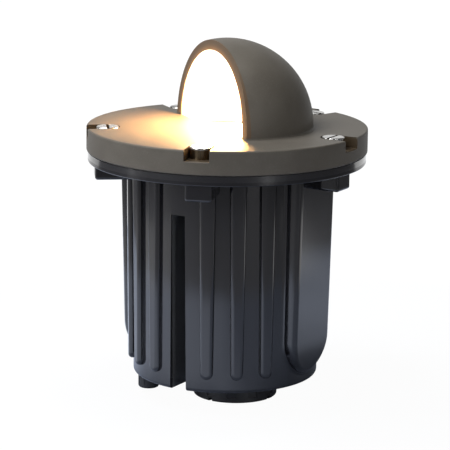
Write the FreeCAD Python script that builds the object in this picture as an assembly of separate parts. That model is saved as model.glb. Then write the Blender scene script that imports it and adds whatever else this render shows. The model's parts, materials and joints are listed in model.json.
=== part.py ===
import FreeCAD
import Part
import math
import os

# A hooded in-ground well light, in millimetres. +Z is up, z = 0 is the face the light stands on,
# the Z axis runs through the middle of the cover, and the hood throws its light towards -Y.
# Angles round the light count from -Y, and grow towards +X.

# ---- cover casting ----
COVER_R = 108.0
COVER_THICK = 18.6
COVER_EDGE_ROUND = 1.3
COVER_POCKET_DEPTH = 10.5
COVER_POCKET_LAND = 2.0
COVER_POCKET_WALL = 4.5
COVER_POCKET_WEB = 17.3

HOOD_R = 66.1
HOOD_RISE = 1.3
HOOD_WALL = 7.8
HOOD_FOOT_ROUND = 1.6
MOUTH_Y = -13.9
MOUTH_LEAN = 2.3
WINDOW_LEDGE = 3.3
WINDOW_SILL = 2.5

# ---- cover screws and their notches ----
SCREW_COUNT = 5
SCREW_PITCH = 360.0 / SCREW_COUNT
FIRST_SCREW = 53.4
SCREW_INSET = 16.2
NOTCH_WIDTH = 19.2
NOTCH_DEPTH = 8.3
NOTCH_LIP = 0.8
SCREW_HEAD_R = 8.6
SCREW_HEAD_HIGH = 7.6
SCREW_HEAD_ROUND = 1.0
SCREW_SHANK_R = 3.0
SCREW_HOLE_CLEAR = 0.5
SCREW_THREAD_CLEAR = 0.05
SCREW_SLOT_WIDE = 2.2
SCREW_SLOT_DEEP = 2.6
SCREW_GRIP = 10.0
WASHER_THICK = 1.2
KEEPER_R = 5.5
KEEPER_THICK = 2.0
KEEPER_UP = 0.1
INSERT_R = 5.0
INSERT_LONG = 13.0
INSERT_GROOVE_WIDE = 1.0
INSERT_GROOVE_DEEP = 0.6
INSERT_TIP_ROOM = 3.0

# ---- glass and what holds it ----
GLASS_LAP = 6.5
GLASS_THICK = 6.0
GLASS_EDGE = 0.8
GLASS_SIDE_CLEAR = 0.5
GLASS_SEAL_THICK = 1.5
CLAMP_SETBACK = 1.0
CLAMP_LAP = 8.5
CLAMP_THICK = 3.0
CLAMP_CLEAR = 0.3
CLAMP_SCREWS = 6
CLAMP_SCREW_OUT = 4.5
CLAMP_SCREW_R = 1.5
CLAMP_SCREW_LONG = 6.0
CLAMP_HEAD_R = 2.7
CLAMP_HEAD_HIGH = 1.6
CLAMP_HEAD_CLEAR = 0.4
CLAMP_TIP_ROOM = 0.5

# ---- housing can ----
HUB_DROP = 17.5
CAN_HIGH = 174.5
CAN_R_TOP = 73.0
CAN_TAPER = 1.5
CAN_WALL = 3.6
CAN_FLOOR = 4.0
CAN_FOOT_ROUND = 3.0
FLANGE_INSET = 1.0
FLANGE_THICK = 7.6
FLANGE_PLATE = 4.4
FLANGE_RIM = 3.4
FLANGE_EDGE_ROUND = 0.8

COVER_SEAL_TO_INSERT = 6.8
COVER_SEAL_WIDE = 5.0
COVER_SEAL_THICK = 2.6
COVER_GAP = 0.4

BOSS_WIDE = 20.2
BOSS_OUT = 10.2
BOSS_LOW = 13.2
BOSS_EDGE_ROUND = 2.2

RIB_PITCH = 18.0
RIB_TURN = 1.0
RIB_FOOT_R = 4.9
RIB_SIDE_DRAFT = 0.6
RIB_PROUD = 4.2
RIB_FOOT_UP = 11.1
RIB_EDGE_ROUND = 3.0

PAD_OFFSET = 2 * 36.0
PAD_HALF_WIDE = 28.1
PAD_PROUD = 7.7
PAD_FACE_DRAFT = 1.5
PAD_FOOT_UP = 8.0
PAD_END_LIP = 2.4
PAD_EDGE_ROUND = 4.6
PAD_FOOT_ROUND = 3.0
PAD_WALL = 3.6
PAD_BESIDE = 1
PAD_ROOT_DEEP = 30.0

CHANNEL_OFFSET = -18.0
CHANNEL_TOP_DOWN = 30.9
CHANNEL_WIDE_TOP = 11.8
CHANNEL_WIDE_LOW = 13.9
CHANNEL_DEEP = 31.0
CHANNEL_WALL = 3.2
CHANNEL_HEAD = 11.5
CHANNEL_HEAD_SETBACK = 1.0

# ---- bottom entries ----
HUB_OFF_AXIS = 9.3
HUB_BORE_R = 24.3
HUB_WALL = 8.2
HUB_ROOF = 4.5
HUB_EDGE_ROUND = 1.6
HUB_NOTCHES = 4
HUB_NOTCH_WIDE = 3.0
HUB_NOTCH_DEEP = 3.0
HUB_NOTCH_TURN = 29.0
HUB_FACETS = 12
HUB_FACET_CUT = 0.9
HUB_FACET_LOW_Z = 4.0
HUB_FACET_TOP_DOWN = 2.0
HUB_FACET_WIDE = 7.1
HUB_SPIGOT_R = 14.0
HUB_SPIGOT_CLEAR = 0.1
HUB_SPIGOT_WALL = 4.0
HUB_SEAL_OUT = 3.0
HUB_SEAL_WIDE = 4.0
HUB_SEAL_THICK = 1.6
HUB_SEAL_CRUSH = 0.3
LOCKNUT_THICK = 5.0
LOCKNUT_WIDE = 7.0
THREAD_PROUD = 1.0

GLAND_ANGLE_FROM_SCREW = -72.0
GLAND_INSET = 11.7
GLAND_NUT_WALL = 1.9
GLAND_NUT_HIGH = 9.0
GLAND_NUT_ROUND = 2.0
GLAND_NUT_GRIPS = 8
GLAND_GRIP_WIDE = 1.2
GLAND_GRIP_DEEP = 0.5
GLAND_GRIP_UP = 3.0
GLAND_HEX_WALL = 2.0
GLAND_HEX_HIGH = 4.0
GLAND_THREAD_R = 6.0
GLAND_BORE_CLEAR = 0.7
GLAND_SEAL_R = 6.2
GLAND_SEAL_BORE_R = 3.5
GLAND_SEAL_LONG = 8.0
GLAND_LOCKNUT_WALL = 1.8
GLAND_LOCKNUT_THICK = 4.0

PLUG_R = 4.2
PLUG_HEAD_LAP = 1.2
PLUG_HEAD_HIGH = 2.5
PLUG_INSET = 7.0
PLUG_CLEAR = 0.1

# ---- lamp carrier and gimbal ----
CARRIER_CLEAR = 3.6
CARRIER_TO_LAMP = 3.5
CARRIER_THICK = 2.5
COLLAR_WALL = 2.0
COLLAR_LIP = 0.1
TURN_CLEAR = 0.1
TURN_THICK = 2.5
KEEP_RING_WIDE = 2.6
KEEP_RING_THICK = 1.2
CARRIER_SCREW_R = 1.9
CARRIER_SCREW_LONG = 8.0
CARRIER_SCREW_HEAD_R = 3.3
CARRIER_SCREW_HEAD_HIGH = 1.4
CARRIER_SCREW_SPREAD = 5.2
CARRIER_SCREW_EDGE = 3.6

TILT_UP = 9.5
TILT_LIMIT = 15.0
EAR_EDGE = 1.9
EAR_THICK = 2.4
EAR_HALF_WIDE = 7.0
EAR_TOP = 5.6
EAR_FOOT_HIGH = 2.0
TILT_PIN_R = 2.5
TILT_PIN_CLEAR = 0.05
TILT_WASHER_THICK = 0.5
TILT_HEAD_R = 5.0
TILT_HEAD_THICK = 2.6
TILT_SLOT_WIDE = 1.4
LUG_R = 5.2
TILT_PIN_GRIP = 8.0

LAMP_TO_EAR = 9.8
LAMP_FLANGE = 8.0
LAMP_FACE_UP = 3.5
LAMP_CONE_IN = 14.5
LAMP_CONE_DROP = 12.5
LAMP_WALL = 2.4
LAMP_FLOOR = 2.0
LAMP_BOWL_EDGE = 4.5
LUG_ROOT = 4.0
SINK_IN = 2.0
SINK_CORE_R = 12.0
SINK_LOW = 36.0
SINK_FINS = 18
SINK_FIN_THICK = 1.8
SINK_FIN_ROOT = 2.0
BOARD_IN = 6.0
BOARD_THICK = 1.6
CHIP_R = 9.0
CHIP_THICK = 1.4
REFLECTOR_WALL = 1.0
REFLECTOR_STEPS = 6
REFLECTOR_CURVE = 0.62
REFLECTOR_TO_CHIP = 1.5
LAMP_GLASS_IN = 3.5
LAMP_GLASS_THICK = 2.0
BEZEL_THICK = 1.6
BEZEL_WIDE = 6.5
BEZEL_SCREWS = 4
BEZEL_SCREW_OUT = 1.95
BEZEL_SCREW_R = 1.0
BEZEL_SCREW_LONG = 5.5
BEZEL_HEAD_R = 1.6
BEZEL_HEAD_HIGH = 1.0
BEZEL_TIP_ROOM = 0.5
LAMP_FIT = 0.15

# ---- driver, terminals and leads ----
POST_HIGH = 9.5
TRAY_THICK = 2.0
TRAY_ALONG = (-29.0, 50.0)
TRAY_HALF_ACROSS = 29.0
TRAY_EDGE = 1.0
POST_R = 4.0
DRIVER_ALONG = (-22.0, 46.0)
DRIVER_HALF_ACROSS = 21.0
DRIVER_HIGH = 68.0
DRIVER_ROUND = 3.0
DRIVER_CAP = 3.0
DRIVER_CAP_LAP = 1.0
TERMINAL_ALONG = (-52.0, -33.0)
TERMINAL_HALF_ACROSS = 14.0
TERMINAL_HIGH = 16.0
TERMINAL_POLES = 3
TERMINAL_SCREW_R = 2.6
TERMINAL_SCREW_DEEP = 5.0
TERMINAL_SCREW_HIGH = 4.0
TERMINAL_SCREW_CLEAR = 0.1
TERMINAL_SLOT_WIDE = 0.8
TERMINAL_WAY_Z = 5.0
SMALL_SCREW_R = 1.5
SMALL_HEAD_R = 2.8
SMALL_HEAD_HIGH = 1.6

# shares of a pan head's own height and radius, for screws of every size
HEAD_ROUND_SHARE = 0.45
RECESS_ARM_SHARE = 0.62
RECESS_THICK_SHARE = 0.14
RECESS_DEEP_SHARE = 0.5

TRAY_SCREW_LONG = 8.0
LEAD_R = 1.6
LEAD_CLEAR = 0.05
LEAD_ENTRY = 5.0
LEAD_INSET = 6.0
LEAD_BEND_SHARE = 0.45
LEAD_ARCH = 11.0
CONNECTOR_INSET = 7.0
CONNECTOR_HALF = 4.5
CONNECTOR_HALF_ACROSS = 7.0
CONNECTOR_HIGH = 12.0
CONNECTOR_WALL = 2.5
EARTH_NUT_R = 3.4
EARTH_STUD_R = 1.5
EARTH_STUD_HIGH = 8.0
EARTH_CLEAR = 0.3

BODY_GAP = 0.3

# how far a cutting tool reaches past the face it cuts, and how near two places count as one
OVER = 1.0
SAME = 1e-4

# ---- heights that follow from the sizes above ----
FLOOR_TOP = HUB_DROP + CAN_FLOOR
FLANGE_TOP = HUB_DROP + CAN_HIGH
FLANGE_LOW = FLANGE_TOP - FLANGE_THICK
FLANGE_PLATE_LOW = FLANGE_TOP - FLANGE_PLATE
COVER_LOW = FLANGE_TOP + COVER_GAP
COVER_TOP = COVER_LOW + COVER_THICK
NOTCH_Z = COVER_TOP - NOTCH_DEPTH
HOOD_CENTRE_Z = COVER_TOP + HOOD_RISE
CLAMP_Z = COVER_LOW + CLAMP_HEAD_HIGH + CLAMP_HEAD_CLEAR
GLASS_Z = CLAMP_Z + CLAMP_THICK
GLASS_SEAL_Z = GLASS_Z + GLASS_THICK
GLASS_SEAT_Z = GLASS_SEAL_Z + GLASS_SEAL_THICK
BOSS_Z = FLANGE_LOW - BOSS_LOW
RIB_END_Z = HUB_DROP + RIB_FOOT_UP
PAD_END_Z = HUB_DROP + PAD_FOOT_UP
PAD_TOP_Z = FLANGE_PLATE_LOW
CHANNEL_TOP_Z = FLANGE_LOW - CHANNEL_TOP_DOWN
CHANNEL_HEAD_Z = CHANNEL_TOP_Z + CHANNEL_HEAD
CARRIER_TOP = CHANNEL_HEAD_Z + CARRIER_THICK
TURN_TOP = CARRIER_TOP + TURN_THICK
KEEPER_RING_Z = TURN_TOP + BODY_GAP
COLLAR_TOP = KEEPER_RING_Z + KEEP_RING_THICK + COLLAR_LIP
TILT_Z = CARRIER_TOP + TILT_UP
LAMP_TOP = TILT_Z + LAMP_FACE_UP
LAMP_GLASS_Z = LAMP_TOP - BEZEL_THICK - LAMP_GLASS_THICK
LAMP_FLANGE_LOW = LAMP_TOP - LAMP_FLANGE
LAMP_CONE_LOW = LAMP_FLANGE_LOW - LAMP_CONE_DROP
BOARD_TOP = LAMP_CONE_LOW + BOARD_THICK
SINK_Z = TILT_Z - SINK_LOW
HUB_BORE_DEEP = HUB_DROP - HUB_ROOF
GLAND_HEX_Z = HUB_DROP - GLAND_HEX_HIGH
GLAND_LOW_Z = GLAND_HEX_Z - GLAND_NUT_HIGH
TRAY_Z = FLOOR_TOP + POST_HIGH
TRAY_TOP = TRAY_Z + TRAY_THICK
DRIVER_TOP = TRAY_TOP + DRIVER_HIGH
CAP_TOP = DRIVER_TOP + DRIVER_CAP

# ---- radii that follow, from the outside inwards ----
SCREW_RING_R = COVER_R - SCREW_INSET
FLANGE_R = COVER_R - FLANGE_INSET
BOSS_R = SCREW_RING_R + BOSS_OUT
COVER_SEAL_R = SCREW_RING_R - INSERT_R - COVER_SEAL_TO_INSERT
COVER_SEAL_R_IN = COVER_SEAL_R - COVER_SEAL_WIDE
COVER_POCKET_R_IN = COVER_SEAL_R + COVER_POCKET_LAND
COVER_POCKET_R_OUT = COVER_R - COVER_POCKET_WALL
HOOD_R_IN = HOOD_R - HOOD_WALL
WINDOW_R = HOOD_R_IN - WINDOW_LEDGE
GLASS_R = WINDOW_R + GLASS_LAP
CLAMP_R_IN = WINDOW_R + CLAMP_SETBACK
CLAMP_R = GLASS_R + CLAMP_LAP
CLAMP_SCREW_RING_R = GLASS_R + CLAMP_SCREW_OUT
CAN_R_LOW = CAN_R_TOP - CAN_TAPER
PAD_FACE_TOP = CAN_R_TOP + PAD_PROUD
PAD_ROOT_R = CAN_R_LOW - PAD_ROOT_DEEP
CHANNEL_FLOOR_R = CAN_R_TOP - CHANNEL_DEEP
CARRIER_R = CAN_R_TOP - CAN_WALL - CARRIER_CLEAR
CARRIER_SCREW_RING_R = CARRIER_R - CARRIER_SCREW_EDGE
TURN_R = CARRIER_SCREW_RING_R - CARRIER_SCREW_HEAD_R - BODY_GAP
EAR_R = TURN_R - EAR_EDGE - EAR_THICK
TILT_HEAD_X = EAR_R + EAR_THICK + BODY_GAP
TILT_PIN_END = EAR_R - BODY_GAP - TILT_PIN_GRIP
LAMP_R = EAR_R - LAMP_TO_EAR
LAMP_CONE_R = LAMP_R - LAMP_CONE_IN
SINK_R = LAMP_CONE_R - SINK_IN
BOARD_R = LAMP_CONE_R - BOARD_IN
LAMP_BOWL_R = LAMP_R - LAMP_BOWL_EDGE
LAMP_GLASS_R = LAMP_R - LAMP_GLASS_IN
BEZEL_R_IN = LAMP_R - BEZEL_WIDE
BEZEL_SCREW_RING_R = LAMP_GLASS_R + BEZEL_SCREW_OUT
CARRIER_R_IN = LAMP_R + CARRIER_TO_LAMP
COLLAR_R = CARRIER_R_IN + COLLAR_WALL
CHANNEL_HEAD_R_IN = CARRIER_R_IN + CHANNEL_HEAD_SETBACK
PLUG_RING_R = CHANNEL_HEAD_R_IN + PLUG_INSET
PLUG_HEAD_R = PLUG_R + PLUG_HEAD_LAP
CONNECTOR_R = CARRIER_R_IN + CONNECTOR_INSET
HUB_R = HUB_BORE_R + HUB_WALL
HUB_SEAL_R_IN = HUB_SPIGOT_R + HUB_SEAL_OUT
HUB_SEAL_R = HUB_SEAL_R_IN + HUB_SEAL_WIDE
LOCKNUT_R = HUB_SPIGOT_R + LOCKNUT_WIDE
GLAND_RING_R = CAN_R_LOW - GLAND_INSET
GLAND_BORE_R = GLAND_SEAL_BORE_R + GLAND_BORE_CLEAR
GLAND_NUT_R = GLAND_SEAL_R + GLAND_NUT_WALL
GLAND_HEX_R = GLAND_THREAD_R + GLAND_HEX_WALL
GLAND_LOCKNUT_R = GLAND_THREAD_R + GLAND_LOCKNUT_WALL

# ---- places round the light, in degrees from -Y towards +X ----
CHANNEL_ANGLE = FIRST_SCREW + CHANNEL_OFFSET
PAD_ANGLE = FIRST_SCREW + PAD_OFFSET
GLAND_ANGLE = FIRST_SCREW + GLAND_ANGLE_FROM_SCREW

X = FreeCAD.Vector(1, 0, 0)
Y = FreeCAD.Vector(0, 1, 0)
Z = FreeCAD.Vector(0, 0, 1)
ORIGIN = FreeCAD.Vector(0, 0, 0)


# ---- helpers ----
def at(angle, radius, z=0.0):
    """The point at a height, a radius and an angle counted from -Y towards +X."""
    turn = math.radians(angle)
    return FreeCAD.Vector(radius * math.sin(turn), -radius * math.cos(turn), z)


def drum(radius, low, high, centre=ORIGIN):
    """An upright cylinder between two heights."""
    foot = FreeCAD.Vector(centre.x, centre.y, low)
    return Part.makeCylinder(radius, high - low, foot, Z)


def ring(inner, outer, low, high, centre=ORIGIN):
    return drum(outer, low, high, centre).cut(drum(inner, low - OVER, high + OVER, centre))


def brick(x, y, z):
    """A box from three (low, high) pairs."""
    corner = FreeCAD.Vector(x[0], y[0], z[0])
    return Part.makeBox(x[1] - x[0], y[1] - y[0], z[1] - z[0], corner)


def turned(shape, angle):
    """A copy of a shape that was built at the front, turned to its angle."""
    copy = shape.copy()
    copy.rotate(ORIGIN, Z, angle)
    return copy


def moved(shape, offset):
    copy = shape.copy()
    copy.translate(offset)
    return copy


def lathe(outline):
    """A solid of revolution from (radius, height) points."""
    points = [FreeCAD.Vector(r, 0, z) for r, z in outline]
    face = Part.Face(Part.makePolygon(points + points[:1]))
    return face.revolve(ORIGIN, Z, 360)


def prism(outline, axis_from, axis_to):
    """A solid from an outline of (x, z) points, drawn across Y from one y to another."""
    points = [FreeCAD.Vector(x, axis_from, z) for x, z in outline]
    face = Part.Face(Part.makePolygon(points + points[:1]))
    return face.extrude(FreeCAD.Vector(0, axis_to - axis_from, 0))


def hexagon(radius, low, high, centre=ORIGIN):
    corners = [at(60.0 * n, radius, low) + centre for n in range(7)]
    return Part.Face(Part.makePolygon(corners)).extrude(FreeCAD.Vector(0, 0, high - low))


def joined(shapes):
    whole = shapes[0]
    if len(shapes) > 1:
        whole = shapes[0].multiFuse(shapes[1:])
    return whole.removeSplitter()


def less(shape, tools):
    return shape.cut(Part.makeCompound(tools))


def screw_angles():
    return [FIRST_SCREW + SCREW_PITCH * n for n in range(SCREW_COUNT)]


def upright_edges(shape, test):
    """Straight edges along Z whose middle passes a test."""
    found = []
    for edge in shape.Edges:
        ends = [v.Point for v in edge.Vertexes]
        if len(ends) == 2 and (ends[0] - ends[1]).cross(Z).Length < SAME and test(edge.CenterOfMass):
            found.append(edge)
    return found


def level_rims(shape, radius, z):
    """Circle edges of one radius about the Z axis, at one height."""
    found = []
    for edge in shape.Edges:
        curve = edge.Curve
        if isinstance(curve, Part.Circle) and abs(curve.Radius - radius) < SAME:
            if abs(curve.Center.z - z) < SAME and math.hypot(curve.Center.x, curve.Center.y) < SAME:
                found.append(edge)
    return found


def pan_screw(head_r, head_high, shank_r, shank_long, recess=True):
    """A small screw with its head's seat at z = 0, its shank below, and a crossed recess."""
    head = drum(head_r, 0, head_high)
    head = head.makeFillet(head_high * HEAD_ROUND_SHARE, level_rims(head, head_r, head_high))
    if recess:
        arm = head_r * RECESS_ARM_SHARE
        thick = head_r * RECESS_THICK_SHARE
        depth = (head_high * (1 - RECESS_DEEP_SHARE), head_high + OVER)
        head = head.cut(brick((-arm, arm), (-thick, thick), depth))
        head = head.cut(brick((-thick, thick), (-arm, arm), depth))
    return joined([head, drum(shank_r, -shank_long, 0)])


def placed(shape, foot, axis=Z):
    """A copy of a shape built on the Z axis, laid along another axis from a foot point."""
    copy = shape.copy()
    copy.Placement = FreeCAD.Placement(foot, FreeCAD.Rotation(Z, axis))
    return copy


# ---- cover ----
def mouth_cutter():
    """The half space in front of the hood's leaning mouth, above the plate."""
    reach = 3 * HOOD_R
    block = brick((-reach, reach), (MOUTH_Y - reach, MOUTH_Y), (COVER_TOP - reach, COVER_TOP + reach))
    block.rotate(FreeCAD.Vector(0, MOUTH_Y, COVER_TOP), X, -MOUTH_LEAN)
    return block.common(brick((-reach, reach), (-reach, reach), (COVER_TOP, COVER_TOP + reach)))


def hood_shell():
    """The half dome that stands on the plate, with a small round at its foot."""
    foot = HOOD_R + HOOD_FOOT_ROUND
    centre = FreeCAD.Vector(0, 0, HOOD_CENTRE_Z)
    top = FreeCAD.Vector(0, 0, HOOD_CENTRE_Z + HOOD_R)
    side = FreeCAD.Vector(HOOD_R, 0, HOOD_CENTRE_Z)
    bend = math.radians(45)
    middle = centre + FreeCAD.Vector(HOOD_R * math.cos(bend), 0, HOOD_R * math.sin(bend))
    fillet_top = FreeCAD.Vector(HOOD_R, 0, COVER_TOP + HOOD_FOOT_ROUND)
    fillet_low = FreeCAD.Vector(foot, 0, COVER_TOP)
    sweep = HOOD_FOOT_ROUND * (1 - math.cos(bend))
    fillet_mid = FreeCAD.Vector(HOOD_R + sweep, 0, COVER_TOP + sweep)
    base = FreeCAD.Vector(foot, 0, COVER_TOP - OVER)
    middle_base = FreeCAD.Vector(0, 0, COVER_TOP - OVER)
    edges = [
        Part.Arc(top, middle, side).toShape(),
        Part.LineSegment(side, fillet_top).toShape(),
        Part.Arc(fillet_top, fillet_mid, fillet_low).toShape(),
        Part.LineSegment(fillet_low, base).toShape(),
        Part.LineSegment(base, middle_base).toShape(),
        Part.LineSegment(middle_base, top).toShape(),
    ]
    return Part.Face(Part.Wire(edges)).revolve(ORIGIN, Z, 360)


def hood_hollow():
    dome = Part.makeSphere(HOOD_R_IN, FreeCAD.Vector(0, 0, HOOD_CENTRE_Z))
    dome = dome.common(brick((-HOOD_R, HOOD_R), (-HOOD_R, HOOD_R), (HOOD_CENTRE_Z, HOOD_CENTRE_Z + HOOD_R)))
    return joined([dome, drum(HOOD_R_IN, COVER_TOP, HOOD_CENTRE_Z)])


def window():
    """The opening through the plate: a circle cut straight just inside the hood's mouth."""
    hole = drum(WINDOW_R, GLASS_SEAT_Z - OVER, COVER_TOP + OVER)
    sill = MOUTH_Y + WINDOW_SILL
    return hole.cut(brick((-COVER_R, COVER_R), (-COVER_R, sill), (0, 2 * COVER_TOP)))


def notch_lip():
    """The small slope at the outer edge of a notch's floor."""
    outer = -COVER_R - OVER
    outline = [(outer, NOTCH_Z - NOTCH_LIP - OVER), (NOTCH_LIP - COVER_R, NOTCH_Z), (outer, NOTCH_Z)]
    points = [FreeCAD.Vector(-NOTCH_WIDTH / 2, y, z) for y, z in outline]
    face = Part.Face(Part.makePolygon(points + points[:1]))
    return face.extrude(X * NOTCH_WIDTH)


def notch():
    """One screw notch at the front: a round seat, open to the rim."""
    half = NOTCH_WIDTH / 2
    seat = drum(half, NOTCH_Z, COVER_TOP + OVER, at(0, SCREW_RING_R))
    way = brick((-half, half), (-COVER_R - OVER, -SCREW_RING_R), (NOTCH_Z, COVER_TOP + OVER))
    return joined([seat, way, notch_lip()])


def screw_hole():
    centre = at(0, SCREW_RING_R)
    hole = drum(SCREW_SHANK_R + SCREW_HOLE_CLEAR, COVER_LOW - OVER, NOTCH_Z + OVER, centre)
    keeper_space = drum(KEEPER_R + CLAMP_CLEAR, COVER_LOW - OVER, COVER_LOW + KEEPER_THICK, centre)
    return joined([hole, keeper_space])


def casting_pocket():
    """One of the pockets under the plate that keep the casting's walls even."""
    sector = SCREW_PITCH / 2 - math.degrees(COVER_POCKET_WEB / 2 / SCREW_RING_R)
    shape = ring(COVER_POCKET_R_IN, COVER_POCKET_R_OUT, COVER_LOW - OVER, COVER_LOW + COVER_POCKET_DEPTH)
    side = 3 * COVER_R
    for sign in (-1, 1):
        wall = brick((-side, side), (0, side), (0, COVER_TOP))
        wall.rotate(ORIGIN, Z, sign * (90 - sector))
        shape = shape.cut(wall)
    return shape.cut(brick((-side, side), (0, side), (0, COVER_TOP)))


def cover_casting():
    plate = drum(COVER_R, COVER_LOW, COVER_TOP)
    rims = level_rims(plate, COVER_R, COVER_TOP) + level_rims(plate, COVER_R, COVER_LOW)
    plate = plate.makeFillet(COVER_EDGE_ROUND, rims)
    body = joined([plate, hood_shell().cut(mouth_cutter())])
    body = body.cut(hood_hollow())
    body = body.cut(window())
    glass_space = drum(GLASS_R + GLASS_SIDE_CLEAR, COVER_LOW - OVER, GLASS_SEAT_Z)
    body = body.cut(glass_space)
    body = body.cut(drum(CLAMP_R + CLAMP_CLEAR, COVER_LOW - OVER, GLASS_Z))
    tools = [turned(notch(), angle) for angle in screw_angles()]
    tools += [turned(screw_hole(), angle) for angle in screw_angles()]
    tools += [turned(casting_pocket(), angle + SCREW_PITCH / 2) for angle in screw_angles()]
    for angle in clamp_angles():
        top = CLAMP_Z + CLAMP_SCREW_LONG + CLAMP_TIP_ROOM
        tools.append(drum(CLAMP_SCREW_R, GLASS_Z - OVER, top, at(angle, CLAMP_SCREW_RING_R)))
    for tool in tools:
        body = body.cut(tool)
    return body


def clamp_angles():
    return [360.0 / CLAMP_SCREWS * n for n in range(CLAMP_SCREWS)]


def glass_seal():
    seal = drum(GLASS_R, GLASS_SEAL_Z, GLASS_SEAT_Z)
    hole = drum(WINDOW_R, GLASS_SEAL_Z - OVER, GLASS_SEAT_Z + OVER)
    sill = MOUTH_Y + WINDOW_SILL
    return seal.cut(hole.cut(brick((-COVER_R, COVER_R), (-COVER_R, sill), (0, 2 * COVER_TOP))))


def lens_glass():
    glass = drum(GLASS_R, GLASS_Z, GLASS_SEAL_Z)
    rims = level_rims(glass, GLASS_R, GLASS_Z) + level_rims(glass, GLASS_R, GLASS_SEAL_Z)
    return glass.makeChamfer(GLASS_EDGE, rims)


def glass_clamp_ring():
    plate = ring(CLAMP_R_IN, CLAMP_R, CLAMP_Z, GLASS_Z)
    hole = drum(CLAMP_SCREW_R, CLAMP_Z - OVER, GLASS_Z + OVER, at(0, CLAMP_SCREW_RING_R))
    return less(plate, [turned(hole, angle) for angle in clamp_angles()])


def glass_clamp_screws():
    screw = pan_screw(CLAMP_HEAD_R, CLAMP_HEAD_HIGH, CLAMP_SCREW_R, CLAMP_SCREW_LONG)
    screw = placed(screw, at(0, CLAMP_SCREW_RING_R, CLAMP_Z), Z * -1)
    return Part.makeCompound([turned(screw, angle) for angle in clamp_angles()])


def cover_screw():
    """One cover screw at the front, its slotted head a little proud of the plate."""
    foot = at(0, SCREW_RING_R)
    low = NOTCH_Z + WASHER_THICK
    head = drum(SCREW_HEAD_R, low, low + SCREW_HEAD_HIGH)
    head = head.makeFillet(SCREW_HEAD_ROUND, level_rims(head, SCREW_HEAD_R, low + SCREW_HEAD_HIGH))
    half = SCREW_SLOT_WIDE / 2
    slot = (low + SCREW_HEAD_HIGH - SCREW_SLOT_DEEP, low + SCREW_HEAD_HIGH + OVER)
    head = head.cut(brick((-2 * SCREW_HEAD_R, 2 * SCREW_HEAD_R), (-half, half), slot))
    shank = drum(SCREW_SHANK_R, FLANGE_TOP - SCREW_GRIP, low)
    return moved(joined([head, shank]), foot)


def cover_screws():
    return Part.makeCompound([turned(cover_screw(), angle) for angle in screw_angles()])


def cover_screw_washers():
    inner = SCREW_SHANK_R + SCREW_THREAD_CLEAR
    washer = ring(inner, SCREW_HEAD_R, NOTCH_Z, NOTCH_Z + WASHER_THICK, at(0, SCREW_RING_R))
    return Part.makeCompound([turned(washer, angle) for angle in screw_angles()])


def cover_screw_keepers():
    """Nylon rings on the shanks that stop the screws falling out of the lifted cover."""
    high = COVER_LOW + KEEPER_THICK
    keeper = ring(SCREW_SHANK_R, KEEPER_R, COVER_LOW + KEEPER_UP, high, at(0, SCREW_RING_R))
    return Part.makeCompound([turned(keeper, angle) for angle in screw_angles()])


# ---- housing can ----
def can_radius(z):
    """The can's outer radius between its ribs, which tapers a little for the mould."""
    share = (z - HUB_DROP) / CAN_HIGH
    return CAN_R_LOW + (CAN_R_TOP - CAN_R_LOW) * share


def taper(offset, low, high):
    """A solid cone that keeps one distance from the can's wall."""
    foot = FreeCAD.Vector(0, 0, low)
    return Part.makeCone(can_radius(low) + offset, can_radius(high) + offset, high - low, foot, Z)


def rib_outline():
    """The rib's outline, with a round lower end and drafted sides that part towards the flange."""
    draft = math.radians(RIB_SIDE_DRAFT)
    centre_z = RIB_END_Z + RIB_FOOT_R
    foot_half = RIB_FOOT_R * math.cos(draft)
    foot_z = centre_z - RIB_FOOT_R * math.sin(draft)
    top_half = foot_half + (FLANGE_PLATE_LOW - foot_z) * math.tan(draft)
    root = min(CAN_R_TOP, CAN_R_LOW) - CAN_WALL

    def spot(x, z):
        return FreeCAD.Vector(x, -root, z)

    edges = [
        Part.Arc(spot(-foot_half, foot_z), spot(0, RIB_END_Z), spot(foot_half, foot_z)).toShape(),
        Part.LineSegment(spot(foot_half, foot_z), spot(top_half, FLANGE_PLATE_LOW)).toShape(),
        Part.LineSegment(spot(top_half, FLANGE_PLATE_LOW), spot(-top_half, FLANGE_PLATE_LOW)).toShape(),
        Part.LineSegment(spot(-top_half, FLANGE_PLATE_LOW), spot(-foot_half, foot_z)).toShape(),
    ]
    outside = max(CAN_R_TOP, CAN_R_LOW) + RIB_PROUD + OVER
    return Part.Face(Part.Wire(edges)).extrude(FreeCAD.Vector(0, root - outside, 0))


def rib():
    """One raised rib at the front, its outer edges rounded over."""
    bar = rib_outline().common(taper(RIB_PROUD, HUB_DROP, FLANGE_PLATE_LOW))
    outer = []
    for edge in bar.Edges:
        middle = edge.CenterOfMass
        from_wall = math.hypot(middle.x, middle.y) - can_radius(middle.z)
        if middle.z < FLANGE_PLATE_LOW - SAME and from_wall > RIB_PROUD / 2:
            outer.append(edge)
    return bar.makeFillet(RIB_EDGE_ROUND, outer)


def rib_angles():
    """Ribs stand every pitch round the can, except at the pads and the channels."""
    angles = []
    count = round(360.0 / RIB_PITCH)
    for n in range(count):
        angle = FIRST_SCREW + RIB_PITCH * n
        from_pad = abs((angle - PAD_ANGLE + 90.0) % 180.0 - 90.0)
        from_channel = abs((angle - CHANNEL_ANGLE + 90.0) % 180.0 - 90.0)
        if from_pad > (PAD_BESIDE + 0.5) * RIB_PITCH and from_channel > RIB_PITCH / 2:
            angles.append(angle + RIB_TURN)
    return angles


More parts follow.
